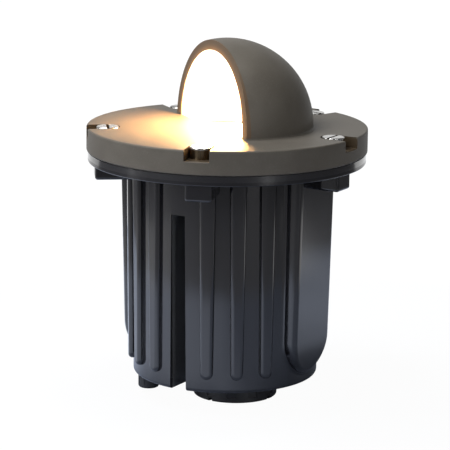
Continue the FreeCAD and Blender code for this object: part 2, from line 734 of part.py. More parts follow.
def pad_outline(inset, near, far):
    """The pad's face outline, a half round end below and straight sides up to the flange."""
    half = PAD_HALF_WIDE - inset
    centre_z = PAD_END_Z + PAD_HALF_WIDE
    top = PAD_TOP_Z - inset

    def spot(x, z):
        return FreeCAD.Vector(x, -near, z)

    edges = [
        Part.Arc(spot(-half, centre_z), spot(0, centre_z - half), spot(half, centre_z)).toShape(),
        Part.LineSegment(spot(half, centre_z), spot(half, top)).toShape(),
        Part.LineSegment(spot(half, top), spot(-half, top)).toShape(),
        Part.LineSegment(spot(-half, top), spot(-half, centre_z)).toShape(),
    ]
    return Part.Face(Part.Wire(edges)).extrude(FreeCAD.Vector(0, near - far, 0))


def pad_face(z):
    """How far the pad's drafted face stands from the axis at a height."""
    return PAD_FACE_TOP - (PAD_TOP_Z - z) * math.tan(math.radians(PAD_FACE_DRAFT))


def pad_profile(inset):
    """The pad seen from its side: a drafted face that fades into the can at its lower end."""
    fade_z = PAD_END_Z + PAD_HALF_WIDE
    start = pad_face(fade_z) - inset
    foot = can_radius(PAD_END_Z) + PAD_END_LIP - inset
    depth = start - foot
    arc_r = (PAD_HALF_WIDE ** 2 + depth ** 2) / (2 * depth)
    half_bend = math.asin(PAD_HALF_WIDE / arc_r) / 2
    middle_y = start - arc_r + arc_r * math.cos(half_bend)
    middle = FreeCAD.Vector(0, -middle_y, fade_z - arc_r * math.sin(half_bend))
    points = [
        FreeCAD.Vector(0, -PAD_ROOT_R, PAD_TOP_Z + OVER),
        FreeCAD.Vector(0, inset - pad_face(PAD_TOP_Z + OVER), PAD_TOP_Z + OVER),
        FreeCAD.Vector(0, -start, fade_z),
        FreeCAD.Vector(0, -foot, PAD_END_Z),
        FreeCAD.Vector(0, -foot, PAD_END_Z - OVER),
        FreeCAD.Vector(0, -PAD_ROOT_R, PAD_END_Z - OVER),
    ]
    edges = [
        Part.LineSegment(points[0], points[1]).toShape(),
        Part.LineSegment(points[1], points[2]).toShape(),
        Part.Arc(points[2], middle, points[3]).toShape(),
        Part.LineSegment(points[3], points[4]).toShape(),
        Part.LineSegment(points[4], points[5]).toShape(),
        Part.LineSegment(points[5], points[0]).toShape(),
    ]
    face = Part.Face(Part.Wire(edges))
    face.translate(FreeCAD.Vector(-COVER_R, 0, 0))
    return face.extrude(FreeCAD.Vector(2 * COVER_R, 0, 0))


def pad(inset=0.0):
    """One raised flat pad at the front. An inset makes the hollow inside it."""
    outline = pad_outline(inset, PAD_ROOT_R, PAD_FACE_TOP + PAD_PROUD)
    return outline.common(pad_profile(inset))


def rounded_pad():
    """The pad with its outer edge rounded over, except where it meets the flange."""
    body = pad()
    outer = []
    for edge in body.Edges:
        middle = edge.CenterOfMass
        if -middle.y > CAN_R_LOW - PAD_EDGE_ROUND and middle.z < PAD_TOP_Z - SAME:
            outer.append(edge)
    return body.makeFillet(PAD_EDGE_ROUND, outer)


def channel(extra=0.0, top=CHANNEL_TOP_Z, inner=CHANNEL_FLOOR_R):
    """A cable channel at the front, a little wider at its open foot."""
    wide_top = CHANNEL_WIDE_TOP / 2 + extra
    wide_low = CHANNEL_WIDE_LOW / 2 + extra
    low = HUB_DROP - OVER
    outline = [(-wide_low, low), (wide_low, low), (wide_top, top), (-wide_top, top)]
    return prism(outline, -COVER_R, -inner)


def screw_boss():
    """One boss under the flange, its outer corners and lower edge rounded."""
    half = BOSS_WIDE / 2
    block = brick((-half, half), (-BOSS_R, -CAN_R_LOW), (BOSS_Z, FLANGE_PLATE_LOW))
    edges = upright_edges(block, lambda p: p.y < SAME - BOSS_R)
    for edge in block.Edges:
        middle = edge.CenterOfMass
        if abs(middle.z - BOSS_Z) < SAME and middle.y < -CAN_R_LOW - SAME:
            edges.append(edge)
    return block.makeFillet(BOSS_EDGE_ROUND, edges)


def flange_plate():
    """The flange's flat plate and the rim that hangs from its edge."""
    disc = drum(FLANGE_R, FLANGE_LOW, FLANGE_TOP)
    disc = disc.makeFillet(FLANGE_EDGE_ROUND, level_rims(disc, FLANGE_R, FLANGE_LOW))
    return disc.cut(drum(FLANGE_R - FLANGE_RIM, FLANGE_LOW - OVER, FLANGE_PLATE_LOW))


def can_room():
    """The round room inside the can, with pockets behind the pads."""
    room = taper(-CAN_WALL, FLOOR_TOP, FLANGE_TOP + OVER)
    return joined([room] + [turned(pad(PAD_WALL), PAD_ANGLE + turn) for turn in (0, 180)])


def insert_hole():
    centre = at(0, SCREW_RING_R)
    seat = drum(INSERT_R, FLANGE_TOP - INSERT_LONG, FLANGE_TOP + OVER, centre)
    tip_z = FLANGE_TOP - INSERT_LONG - INSERT_TIP_ROOM
    tip = drum(SCREW_SHANK_R + SCREW_HOLE_CLEAR, tip_z, FLANGE_TOP, centre)
    return joined([seat, tip])


def can_with_pads():
    """The can's tapered body and its two pads, with a hollow round where they meet."""
    core = taper(0, HUB_DROP, FLANGE_PLATE_LOW)
    core = core.makeFillet(CAN_FOOT_ROUND, level_rims(core, CAN_R_LOW, HUB_DROP))
    body = core.fuse([rounded_pad(), turned(rounded_pad(), 180)])
    seam = []
    for edge in body.Edges:
        middle = edge.CenterOfMass
        from_wall = math.hypot(middle.x, middle.y) - can_radius(middle.z)
        beside = abs(middle.y) > PAD_HALF_WIDE and PAD_END_Z < middle.z < PAD_TOP_Z + OVER
        if beside and abs(from_wall) < PAD_FOOT_ROUND / 2:
            seam.append(edge)
    body = body.makeFillet(PAD_FOOT_ROUND, seam)
    return turned(body, PAD_ANGLE)


def can_outside():
    """Everything of the can that shows from outside, still solid."""
    return joined([can_with_pads()] + [turned(rib(), angle) for angle in rib_angles()])


def channel_tools():
    return [turned(channel(), CHANNEL_ANGLE + turn) for turn in (0, 180)]


def housing_can():
    """The ribbed wall in two halves that meet in the plane of the channels, open for the floor."""
    wall = can_outside().cut(can_room()).cut(taper(-CAN_WALL, HUB_DROP - OVER, FLOOR_TOP + OVER))
    for tool in channel_tools():
        wall = wall.cut(tool)
    side = brick((0, COVER_R), (-COVER_R, COVER_R), (HUB_DROP - OVER, FLANGE_TOP))
    return Part.makeCompound([wall.common(turned(side, CHANNEL_ANGLE + turn)) for turn in (0, 180)])


def housing_floor():
    """The can's floor inside the wall's foot, with the tray posts and both entries' holes."""
    posts = [moved(drum(POST_R, FLOOR_TOP - CAN_FLOOR / 2, TRAY_Z), place) for place in tray_posts()]
    body = joined([taper(-CAN_WALL, HUB_DROP, FLOOR_TOP)] + posts)
    tools = channel_tools()
    tools.append(drum(HUB_SPIGOT_R + HUB_SPIGOT_CLEAR, HUB_DROP - OVER, FLOOR_TOP + OVER, hub_centre()))
    seal_seat = HUB_DROP + HUB_SEAL_THICK - HUB_SEAL_CRUSH
    tools.append(ring(HUB_SEAL_R_IN, HUB_SEAL_R, HUB_DROP - OVER, seal_seat, hub_centre()))
    tools.append(drum(GLAND_THREAD_R, HUB_DROP - OVER, FLOOR_TOP + OVER, at(GLAND_ANGLE, GLAND_RING_R)))
    tools += [drum(SMALL_SCREW_R, TRAY_Z - TRAY_SCREW_LONG, TRAY_Z + OVER, place) for place in tray_posts()]
    for tool in tools:
        body = body.cut(tool)
    return body


def housing_flange():
    """The flange with its five bosses, which fit round the top of the ribbed can."""
    body = joined([flange_plate()] + [turned(screw_boss(), angle) for angle in screw_angles()])
    body = body.cut(can_outside())
    tools = [taper(-CAN_WALL, FLANGE_LOW, FLANGE_TOP + OVER)]
    tools += [turned(insert_hole(), angle) for angle in screw_angles()]
    tools.append(ring(COVER_SEAL_R_IN, COVER_SEAL_R, COVER_LOW - COVER_SEAL_THICK, FLANGE_TOP + OVER))
    for tool in tools:
        body = body.cut(tool)
    return body


def channel_lining():
    """The walls that close each cable channel off from the room inside, and the solid head above."""
    walls = channel(CHANNEL_WALL, CHANNEL_TOP_Z + CHANNEL_WALL, CHANNEL_FLOOR_R - CHANNEL_WALL)
    head = channel(CHANNEL_WALL, CHANNEL_HEAD_Z, CHANNEL_HEAD_R_IN)
    inside = taper(-CAN_WALL, FLOOR_TOP, FLANGE_LOW)
    lining = joined([walls, head]).cut(channel())
    screw_end = CHANNEL_HEAD_Z - CARRIER_SCREW_LONG
    above = CHANNEL_HEAD_Z + OVER
    holes = [drum(CARRIER_SCREW_R, screw_end, above, place) for place in carrier_screw_places()]
    holes += [drum(PLUG_R, CHANNEL_TOP_Z - OVER, above, place) for place in plug_places()]
    linings = []
    for turn in (0, 180):
        piece = turned(lining, CHANNEL_ANGLE + turn).common(inside)
        linings.append(less(piece, holes))
    return Part.makeCompound(linings)


def cover_seal():
    return ring(COVER_SEAL_R_IN, COVER_SEAL_R, COVER_LOW - COVER_SEAL_THICK, COVER_LOW)


def threaded_inserts():
    centre = at(0, SCREW_RING_R)
    bush = ring(SCREW_SHANK_R + SCREW_THREAD_CLEAR, INSERT_R, FLANGE_TOP - INSERT_LONG, FLANGE_TOP, centre)
    middle = FLANGE_TOP - INSERT_LONG / 2
    groove = ring(INSERT_R - INSERT_GROOVE_DEEP, INSERT_R + OVER, middle - INSERT_GROOVE_WIDE, middle, centre)
    return Part.makeCompound([turned(bush.cut(groove), angle) for angle in screw_angles()])


# ---- bottom entries ----
def hub_centre():
    return at(PAD_ANGLE, HUB_OFF_AXIS)


def riser_hub():
    """The round socket under the can that takes a riser pipe, with a spigot through the floor."""
    body = drum(HUB_R, 0, HUB_DROP)
    body = body.makeFillet(HUB_EDGE_ROUND, level_rims(body, HUB_R, 0))
    facet_r = HUB_R - HUB_FACET_CUT
    half_facet = HUB_FACET_WIDE / 2
    facet_high = (HUB_FACET_LOW_Z, HUB_DROP - HUB_FACET_TOP_DOWN)
    for n in range(HUB_FACETS):
        flat = brick((-half_facet, half_facet), (-HUB_R - OVER, -facet_r), facet_high)
        body = body.cut(turned(flat, 360.0 / HUB_FACETS * n))
    spigot = drum(HUB_SPIGOT_R, HUB_DROP - OVER, FLOOR_TOP + LOCKNUT_THICK + THREAD_PROUD)
    body = joined([body, spigot]).cut(drum(HUB_SPIGOT_R - HUB_SPIGOT_WALL, HUB_DROP, 2 * FLOOR_TOP))
    body = body.cut(drum(HUB_BORE_R, -OVER, HUB_BORE_DEEP))
    half = HUB_NOTCH_WIDE / 2
    for n in range(HUB_NOTCHES):
        cut = brick((-half, half), (-HUB_R - OVER, OVER - HUB_BORE_R), (-OVER, HUB_NOTCH_DEEP))
        body = body.cut(turned(cut, 360.0 / HUB_NOTCHES * n + HUB_NOTCH_TURN))
    return moved(body, hub_centre())


def hub_seal():
    seat = HUB_DROP + HUB_SEAL_THICK - HUB_SEAL_CRUSH
    return ring(HUB_SEAL_R_IN, HUB_SEAL_R, HUB_DROP, seat, hub_centre())


def hub_locknut():
    nut = hexagon(LOCKNUT_R, FLOOR_TOP, FLOOR_TOP + LOCKNUT_THICK, hub_centre())
    return nut.cut(drum(HUB_SPIGOT_R, FLOOR_TOP - OVER, FLOOR_TOP + LOCKNUT_THICK + OVER, hub_centre()))


def gland_centre():
    return at(GLAND_ANGLE, GLAND_RING_R)


def gland_body():
    body = hexagon(GLAND_HEX_R, GLAND_HEX_Z, HUB_DROP, gland_centre())
    stem = drum(GLAND_THREAD_R, GLAND_HEX_Z, FLOOR_TOP + GLAND_LOCKNUT_THICK + THREAD_PROUD, gland_centre())
    body = joined([body, stem])
    return body.cut(drum(GLAND_BORE_R, 0, 2 * FLOOR_TOP, gland_centre()))


def gland_seal():
    return ring(GLAND_SEAL_BORE_R, GLAND_SEAL_R, GLAND_HEX_Z - GLAND_SEAL_LONG, GLAND_HEX_Z, gland_centre())


def gland_nut():
    """The domed nut whose skirt squeezes the seal round a cable."""
    nut = drum(GLAND_NUT_R, GLAND_LOW_Z, GLAND_HEX_Z)
    nut = nut.makeFillet(GLAND_NUT_ROUND, level_rims(nut, GLAND_NUT_R, GLAND_LOW_Z))
    half = GLAND_GRIP_WIDE / 2
    depth = (-GLAND_NUT_R - OVER, GLAND_GRIP_DEEP - GLAND_NUT_R)
    grip = brick((-half, half), depth, (GLAND_LOW_Z + GLAND_GRIP_UP, GLAND_HEX_Z + OVER))
    grips = [turned(grip, 360.0 / GLAND_NUT_GRIPS * n) for n in range(GLAND_NUT_GRIPS)]
    nut = moved(less(nut, grips), gland_centre())
    nut = nut.cut(drum(GLAND_SEAL_R, GLAND_HEX_Z - GLAND_SEAL_LONG, GLAND_HEX_Z + OVER, gland_centre()))
    return nut.cut(drum(GLAND_BORE_R + GLAND_BORE_CLEAR, 0, GLAND_HEX_Z, gland_centre()))


def gland_locknut():
    nut = hexagon(GLAND_LOCKNUT_R, FLOOR_TOP, FLOOR_TOP + GLAND_LOCKNUT_THICK, gland_centre())
    return nut.cut(drum(GLAND_THREAD_R, 0, 2 * FLOOR_TOP, gland_centre()))


def plug_places():
    return [at(CHANNEL_ANGLE + turn, PLUG_RING_R) for turn in (0, 180)]


def channel_plugs():
    """Rubber plugs that close the spare cable entry at the head of each channel."""
    plugs = []
    for place in plug_places():
        stem = drum(PLUG_R - PLUG_CLEAR, CHANNEL_TOP_Z - PLUG_HEAD_HIGH, CHANNEL_HEAD_Z - OVER, place)
        head = drum(PLUG_HEAD_R, CHANNEL_TOP_Z - PLUG_HEAD_HIGH, CHANNEL_TOP_Z, place)
        plugs.append(joined([stem, head]))
    return Part.makeCompound(plugs)


# ---- lamp carrier and gimbal ----
def carrier_screw_places():
    """Two screws in the head of each channel, either side of its plug."""
    spread = math.degrees(CARRIER_SCREW_SPREAD / CARRIER_SCREW_RING_R)
    places = []
    for turn in (0, 180):
        for side in (-spread, spread):
            places.append(at(CHANNEL_ANGLE + turn + side, CARRIER_SCREW_RING_R))
    return places


def lamp_carrier():
    """The fixed ring on the channel heads, with the collar that the turntable runs on."""
    plate = ring(CARRIER_R_IN, CARRIER_R, CHANNEL_HEAD_Z, CARRIER_TOP)
    collar = ring(CARRIER_R_IN, COLLAR_R, CHANNEL_HEAD_Z, COLLAR_TOP)
    body = joined([plate, collar])
    holes = [drum(CARRIER_SCREW_R, 0, COVER_TOP, place) for place in carrier_screw_places()]
    return less(body, holes)


def carrier_screws():
    screw = pan_screw(CARRIER_SCREW_HEAD_R, CARRIER_SCREW_HEAD_HIGH, CARRIER_SCREW_R, CARRIER_SCREW_LONG)
    screws = []
    for place in carrier_screw_places():
        screws.append(moved(screw, place + FreeCAD.Vector(0, 0, CARRIER_TOP)))
    return Part.makeCompound(screws)


def turntable_keeper():
    """The ring pressed on the collar that keeps the turntable down."""
    return ring(COLLAR_R, COLLAR_R + KEEP_RING_WIDE, KEEPER_RING_Z, KEEPER_RING_Z + KEEP_RING_THICK)


def ear():
    """One upright ear of the turntable, at the +X side."""
    low = CARRIER_TOP + TURN_CLEAR
    across = (EAR_R, EAR_R + EAR_THICK)
    foot = brick(across, (-EAR_HALF_WIDE, EAR_HALF_WIDE), (low, TURN_TOP + EAR_FOOT_HIGH))
    neck = brick(across, (-EAR_TOP, EAR_TOP), (low, TILT_Z))
    crown = Part.makeCylinder(EAR_TOP, EAR_THICK, FreeCAD.Vector(EAR_R, 0, TILT_Z), X)
    body = joined([foot, neck, crown])
    pin_foot = FreeCAD.Vector(EAR_R - OVER, 0, TILT_Z)
    return body.cut(Part.makeCylinder(TILT_PIN_R + TILT_PIN_CLEAR, EAR_THICK + 2 * OVER, pin_foot, X))


def turntable():
    plate = ring(COLLAR_R + TURN_CLEAR, TURN_R, CARRIER_TOP + TURN_CLEAR, TURN_TOP)
    return joined([plate, ear(), turned(ear(), 180)])


def lamp_hollow():
    """The room in the lamp's cup for the board, the reflector and the glass."""
    board_r = BOARD_R + LAMP_FIT
    glass_r = LAMP_GLASS_R + LAMP_FIT
    return lathe([
        (0, LAMP_CONE_LOW), (board_r, LAMP_CONE_LOW), (board_r, BOARD_TOP),
        (LAMP_CONE_R - LAMP_WALL, BOARD_TOP), (LAMP_BOWL_R, LAMP_FLANGE_LOW),
        (LAMP_BOWL_R, LAMP_GLASS_Z), (glass_r, LAMP_GLASS_Z), (glass_r, LAMP_TOP), (0, LAMP_TOP),
    ])


def lamp_lug(side):
    """One of the two round lugs that the lamp tilts on, up to its washer."""
    foot = FreeCAD.Vector(side * (LAMP_R - LUG_ROOT), 0, TILT_Z)
    long = EAR_R - TILT_WASHER_THICK - BODY_GAP - LAMP_R + LUG_ROOT
    lug = Part.makeCylinder(LUG_R, long, foot, X * side)
    return lug.cut(drum(LAMP_R + LAMP_FIT, LAMP_TOP - BEZEL_THICK, COVER_TOP))


def lamp_body():
    """The lamp's cast cup with its heat sink fins and the two tilt lugs."""
    floor_z = LAMP_CONE_LOW - LAMP_FLOOR
    rim_z = LAMP_TOP - BEZEL_THICK
    cup = lathe([
        (0, floor_z), (LAMP_CONE_R, floor_z), (LAMP_CONE_R, LAMP_CONE_LOW),
        (LAMP_R, LAMP_FLANGE_LOW), (LAMP_R, rim_z), (0, rim_z),
    ])
    core = drum(SINK_CORE_R, SINK_Z, LAMP_CONE_LOW)
    half = SINK_FIN_THICK / 2
    fin_top = LAMP_CONE_LOW - LAMP_FLOOR / 2
    fin = brick((-half, half), (-SINK_R, SINK_FIN_ROOT - SINK_CORE_R), (SINK_Z, fin_top))
    fins = [turned(fin, 360.0 / SINK_FINS * n) for n in range(SINK_FINS)]
    body = joined([cup, core, lamp_lug(1), lamp_lug(-1)] + fins)
    body = body.cut(lamp_hollow())
    for side in (-1, 1):
        foot = FreeCAD.Vector(side * TILT_PIN_END, 0, TILT_Z)
        body = body.cut(Part.makeCylinder(TILT_PIN_R, EAR_R, foot, X * side))
    low = LAMP_TOP - BEZEL_SCREW_LONG - BEZEL_TIP_ROOM
    for place in bezel_screw_places():
        body = body.cut(drum(BEZEL_SCREW_R, low, LAMP_TOP, place))
    return body


def led_board():
    return drum(BOARD_R, LAMP_CONE_LOW, BOARD_TOP)


def led_chip():
    return drum(CHIP_R, BOARD_TOP, BOARD_TOP + CHIP_THICK)


def lamp_reflector():
    """The bright bowl between the LED chip and the lamp's glass."""
    narrow = CHIP_R + REFLECTOR_TO_CHIP
    wide = LAMP_BOWL_R - LAMP_FIT - REFLECTOR_WALL
    inner = []
    outer = []
    for n in range(REFLECTOR_STEPS + 1):
        share = n / REFLECTOR_STEPS
        height = BOARD_TOP + (LAMP_GLASS_Z - BOARD_TOP) * share
        radius = narrow + (wide - narrow) * share ** REFLECTOR_CURVE
        inner.append((radius, height))
        outer.append((min(radius + REFLECTOR_WALL, reflector_limit(height)), height))
    return lathe(inner + outer[::-1])


def reflector_limit(height):
    """How wide the reflector may be at a height inside the lamp's cup."""
    rise = (height - BOARD_TOP) / (LAMP_FLANGE_LOW - BOARD_TOP)
    narrow = LAMP_CONE_R - LAMP_WALL
    return narrow + (LAMP_BOWL_R - narrow) * min(1.0, rise) - LAMP_FIT


def lamp_glass():
    return drum(LAMP_GLASS_R, LAMP_GLASS_Z, LAMP_GLASS_Z + LAMP_GLASS_THICK)


def bezel_screw_places():
    pitch = 360.0 / BEZEL_SCREWS
    return [at(pitch * (n + 0.5), BEZEL_SCREW_RING_R) for n in range(BEZEL_SCREWS)]


def lamp_bezel():
    low = LAMP_TOP - BEZEL_THICK
    plate = ring(BEZEL_R_IN, LAMP_R, low, LAMP_TOP)
    holes = [drum(BEZEL_SCREW_R, low - OVER, LAMP_TOP + OVER, place) for place in bezel_screw_places()]
    return less(plate, holes)


def bezel_screws():
    screw = pan_screw(BEZEL_HEAD_R, BEZEL_HEAD_HIGH, BEZEL_SCREW_R, BEZEL_SCREW_LONG, recess=False)
    return Part.makeCompound([moved(screw, place + Z * LAMP_TOP) for place in bezel_screw_places()])


def tilt_screws():
    """The two shoulder screws that the lamp tilts on."""
    half = TILT_SLOT_WIDE / 2
    pin_end = FreeCAD.Vector(TILT_PIN_END, 0, TILT_Z)
    head_foot = FreeCAD.Vector(TILT_HEAD_X, 0, TILT_Z)
    pin = Part.makeCylinder(TILT_PIN_R, TILT_HEAD_X - TILT_PIN_END, pin_end, X)
    head = Part.makeCylinder(TILT_HEAD_R, TILT_HEAD_THICK, head_foot, X)
    slot_x = (TILT_HEAD_X + TILT_HEAD_THICK / 2, TILT_HEAD_X + TILT_HEAD_THICK + OVER)
    slot = brick(slot_x, (-half, half), (TILT_Z - TILT_HEAD_R - OVER, TILT_Z + TILT_HEAD_R + OVER))
    screw = joined([pin, head]).cut(slot)
    return Part.makeCompound([screw, turned(screw, 180)])


def tilt_washers():
    foot = FreeCAD.Vector(EAR_R - TILT_WASHER_THICK - BODY_GAP, 0, TILT_Z)
    disc = Part.makeCylinder(LUG_R, TILT_WASHER_THICK, foot, X)
    washer = disc.cut(Part.makeCylinder(TILT_PIN_R, TILT_WASHER_THICK + 2 * OVER, foot - X * OVER, X))
    return Part.makeCompound([washer, turned(washer, 180)])


# ---- driver, terminals and leads ----
def tray_posts():
    """Four posts on the can's floor, given along the pads' line and across it."""
    places = []
    side = TRAY_HALF_ACROSS - POST_R
    for along in (TRAY_ALONG[0] + POST_R, TRAY_ALONG[1] - POST_R):
        for across in (-side, side):
            places.append(at(PAD_ANGLE, along) + at(CHANNEL_ANGLE, across))
    return places


def inner_box(along, half_across, low, high):
    """An upright box inside the can, square to its pads and channels."""
    block = brick(along, (-half_across, half_across), (low, high))
    return turned(block, PAD_ANGLE - 90)


def driver_tray():
    plate = inner_box(TRAY_ALONG, TRAY_HALF_ACROSS, TRAY_Z, TRAY_TOP)
    shelf_along = (TERMINAL_ALONG[0] - TRAY_EDGE, TRAY_ALONG[0] + OVER)
    shelf = inner_box(shelf_along, TERMINAL_HALF_ACROSS + TRAY_EDGE, TRAY_Z, TRAY_TOP)
    plate = joined([plate, shelf])
    holes = [drum(SMALL_SCREW_R, TRAY_Z - OVER, TRAY_TOP + OVER, place) for place in tray_posts()]
    return less(plate, holes)


def driver_tray_screws():
    screw = pan_screw(SMALL_HEAD_R, SMALL_HEAD_HIGH, SMALL_SCREW_R, TRAY_SCREW_LONG)
    return Part.makeCompound([moved(screw, p + FreeCAD.Vector(0, 0, TRAY_TOP)) for p in tray_posts()])


def driver_case():
    block = inner_box(DRIVER_ALONG, DRIVER_HALF_ACROSS, TRAY_TOP, DRIVER_TOP)
    return block.makeFillet(DRIVER_ROUND, upright_edges(block, lambda p: True))


def driver_cap():
    along = (DRIVER_ALONG[0] - DRIVER_CAP_LAP, DRIVER_ALONG[1] + DRIVER_CAP_LAP)
    block = inner_box(along, DRIVER_HALF_ACROSS + DRIVER_CAP_LAP, DRIVER_TOP, CAP_TOP)
    block = block.makeFillet(DRIVER_ROUND, upright_edges(block, lambda p: True))
    hole_r = LEAD_R + LEAD_CLEAR
    return less(block, [drum(hole_r, DRIVER_TOP - OVER, CAP_TOP + OVER, place) for place in lead_outlets()])


def lead_outlets():
    """Where the supply lead goes into the driver's cap, and where the lamp lead leaves it."""
    return [at(PAD_ANGLE, DRIVER_ALONG[0] + LEAD_INSET), at(PAD_ANGLE, DRIVER_ALONG[1] - LEAD_INSET)]


def terminal_block():
    top = TRAY_TOP + TERMINAL_HIGH
    block = inner_box(TERMINAL_ALONG, TERMINAL_HALF_ACROSS, TRAY_TOP, top)
    low = top - TERMINAL_SCREW_DEEP
    tools = [drum(TERMINAL_SCREW_R, low, top + OVER, place) for place in terminal_places()]
    reach = TERMINAL_ALONG[1] - TERMINAL_ALONG[0]
    for place in terminal_places():
        foot = place + at(PAD_ANGLE, -reach) + Z * (TRAY_TOP + TERMINAL_WAY_Z)
        tools.append(Part.makeCylinder(LEAD_R + LEAD_CLEAR, 2 * reach, foot, at(PAD_ANGLE, 1)))
    return less(block, tools)


def terminal_places():
    middle = sum(TERMINAL_ALONG) / 2
    pitch = 2 * TERMINAL_HALF_ACROSS / TERMINAL_POLES
    places = []
    for n in range(TERMINAL_POLES):
        across = pitch * (n - (TERMINAL_POLES - 1) / 2)
        places.append(at(PAD_ANGLE, middle) + at(CHANNEL_ANGLE, across))
    return places


def terminal_screws():
    low = TRAY_TOP + TERMINAL_HIGH - TERMINAL_SCREW_DEEP
    high = low + TERMINAL_SCREW_HIGH
    half = TERMINAL_SLOT_WIDE / 2
    slot_high = (high - TERMINAL_SCREW_HIGH / 4, high + OVER)
    slot = brick((-TERMINAL_SCREW_R, TERMINAL_SCREW_R), (-half, half), slot_high)
    screws = []
    for place in terminal_places():
        screw = drum(TERMINAL_SCREW_R - TERMINAL_SCREW_CLEAR, low, high, place)
        screws.append(screw.cut(moved(slot, place)))
    return Part.makeCompound(screws)


def lead(points, radius=LEAD_R):
    """A round lead along straight runs joined by arcs as large as the shorter run allows."""
    edges = []
    start = points[0]
    for n in range(1, len(points) - 1):
        before = points[n] - points[n - 1]
        after = points[n + 1] - points[n]
        half_turn = before.getAngle(after) / 2
        reach = LEAD_BEND_SHARE * min(before.Length, after.Length)
        before.normalize()
        after.normalize()
        arc_from = points[n] - before * reach
        arc_to = points[n] + after * reach
        inward = after - before
        inward.normalize()
        bend_r = reach / math.tan(half_turn)
        middle = points[n] + inward * (bend_r / math.cos(half_turn) - bend_r)
        edges.append(Part.LineSegment(start, arc_from).toShape())
        edges.append(Part.Arc(arc_from, middle, arc_to).toShape())
        start = arc_to
    edges.append(Part.LineSegment(start, points[-1]).toShape())
    path = Part.Wire(edges)
    first = points[1] - points[0]
    section = Part.Wire(Part.makeCircle(radius, points[0], first))
    return path.makePipeShell([section], True, False)


def driver_lead():
    """From the terminal block's inner side up and over into the driver's cap."""
    block = terminal_places()[1]
    half = (TERMINAL_ALONG[1] - TERMINAL_ALONG[0]) / 2
    beside = (TERMINAL_ALONG[1] + DRIVER_ALONG[0] - sum(TERMINAL_ALONG)) / 2
    riser = block + at(PAD_ANGLE, beside)
    way = Z * (TRAY_TOP + TERMINAL_WAY_Z)
    outlet = lead_outlets()[0]
    points = [
        block + at(PAD_ANGLE, half - LEAD_ENTRY) + way,
        riser + way,
        riser + Z * (CAP_TOP + LEAD_ARCH),
        outlet + Z * (CAP_TOP + LEAD_ARCH),
        outlet + Z * (CAP_TOP - DRIVER_CAP / 2),
    ]
    return lead(points)


def lamp_lead():
    """From the driver's cap up to the plug-in connector under the lamp carrier."""
    outlet = lead_outlets()[1]
    end = at(PAD_ANGLE, CONNECTOR_R)
    low = CHANNEL_HEAD_Z - CONNECTOR_HIGH
    points = [
        outlet + Z * (CAP_TOP - DRIVER_CAP / 2),
        outlet + Z * (CAP_TOP + LEAD_ARCH),
        end + Z * (low - LEAD_ARCH),
        end + Z * low,
    ]
    return lead(points)


def lamp_connector():
    """The socket under the carrier that the lamp's own tail plugs into."""
    along = (CONNECTOR_R - CONNECTOR_HALF, CONNECTOR_R + CONNECTOR_HALF)
    low = CHANNEL_HEAD_Z - CONNECTOR_HIGH
    block = inner_box(along, CONNECTOR_HALF_ACROSS, low, CHANNEL_HEAD_Z)
    way = (along[0] - OVER, along[0] + CONNECTOR_WALL)
    edge = CONNECTOR_WALL
    return block.cut(inner_box(way, CONNECTOR_HALF_ACROSS - edge, low + edge, CHANNEL_HEAD_Z - edge))


def earth_stud():
    """The earthing screw and its nut on the driver tray."""
    across = (DRIVER_HALF_ACROSS + TRAY_HALF_ACROSS) / 2 + EARTH_CLEAR
    place = at(PAD_ANGLE, sum(TRAY_ALONG) / 2) + at(CHANNEL_ANGLE, across)
    nut = hexagon(EARTH_NUT_R, TRAY_TOP, TRAY_TOP + EARTH_NUT_R, place)
    stud = drum(EARTH_STUD_R, TRAY_TOP, TRAY_TOP + EARTH_STUD_HIGH, place)
    return joined([nut, stud])


NODES = {
    "cover_casting": cover_casting,
    "glass_seal": glass_seal,
    "lens_glass": lens_glass,
    "glass_clamp_ring": glass_clamp_ring,
    "glass_clamp_screws": glass_clamp_screws,
    "cover_screws": cover_screws,
    "cover_screw_washers": cover_screw_washers,
    "cover_screw_keepers": cover_screw_keepers,
    "housing_can": housing_can,
    "housing_floor": housing_floor,
    "housing_flange": housing_flange,
    "channel_lining": channel_lining,
    "cover_seal": cover_seal,
    "threaded_inserts": threaded_inserts,
    "riser_hub": riser_hub,
    "hub_seal": hub_seal,
    "hub_locknut": hub_locknut,
    "gland_body": gland_body,
    "gland_seal": gland_seal,
    "gland_nut": gland_nut,
    "gland_locknut": gland_locknut,
    "channel_plugs": channel_plugs,
    "lamp_carrier": lamp_carrier,
    "carrier_screws": carrier_screws,
    "turntable_keeper": turntable_keeper,
    "turntable": turntable,
    "lamp_body": lamp_body,
    "led_board": led_board,
    "led_chip": led_chip,
    "lamp_reflector": lamp_reflector,
    "lamp_glass": lamp_glass,
    "lamp_bezel": lamp_bezel,
    "bezel_screws": bezel_screws,
    "tilt_screws": tilt_screws,
    "tilt_washers": tilt_washers,
    "driver_tray": driver_tray,
    "driver_tray_screws": driver_tray_screws,
    "driver_case": driver_case,
    "driver_cap": driver_cap,
    "terminal_block": terminal_block,
    "terminal_screws": terminal_screws,
    "driver_lead": driver_lead,
    "lamp_lead": lamp_lead,
    "lamp_connector": lamp_connector,
    "earth_stud": earth_stud,
}

os.makedirs("parts", exist_ok=True)
for name, make in NODES.items():
    shape = make()
    print(name, len(shape.Solids), round(shape.Volume / 1000, 2), shape.isValid())
    shape.exportStep("parts/" + name + ".step")
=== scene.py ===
import bpy
import json
import math
from mathutils import Matrix, Vector


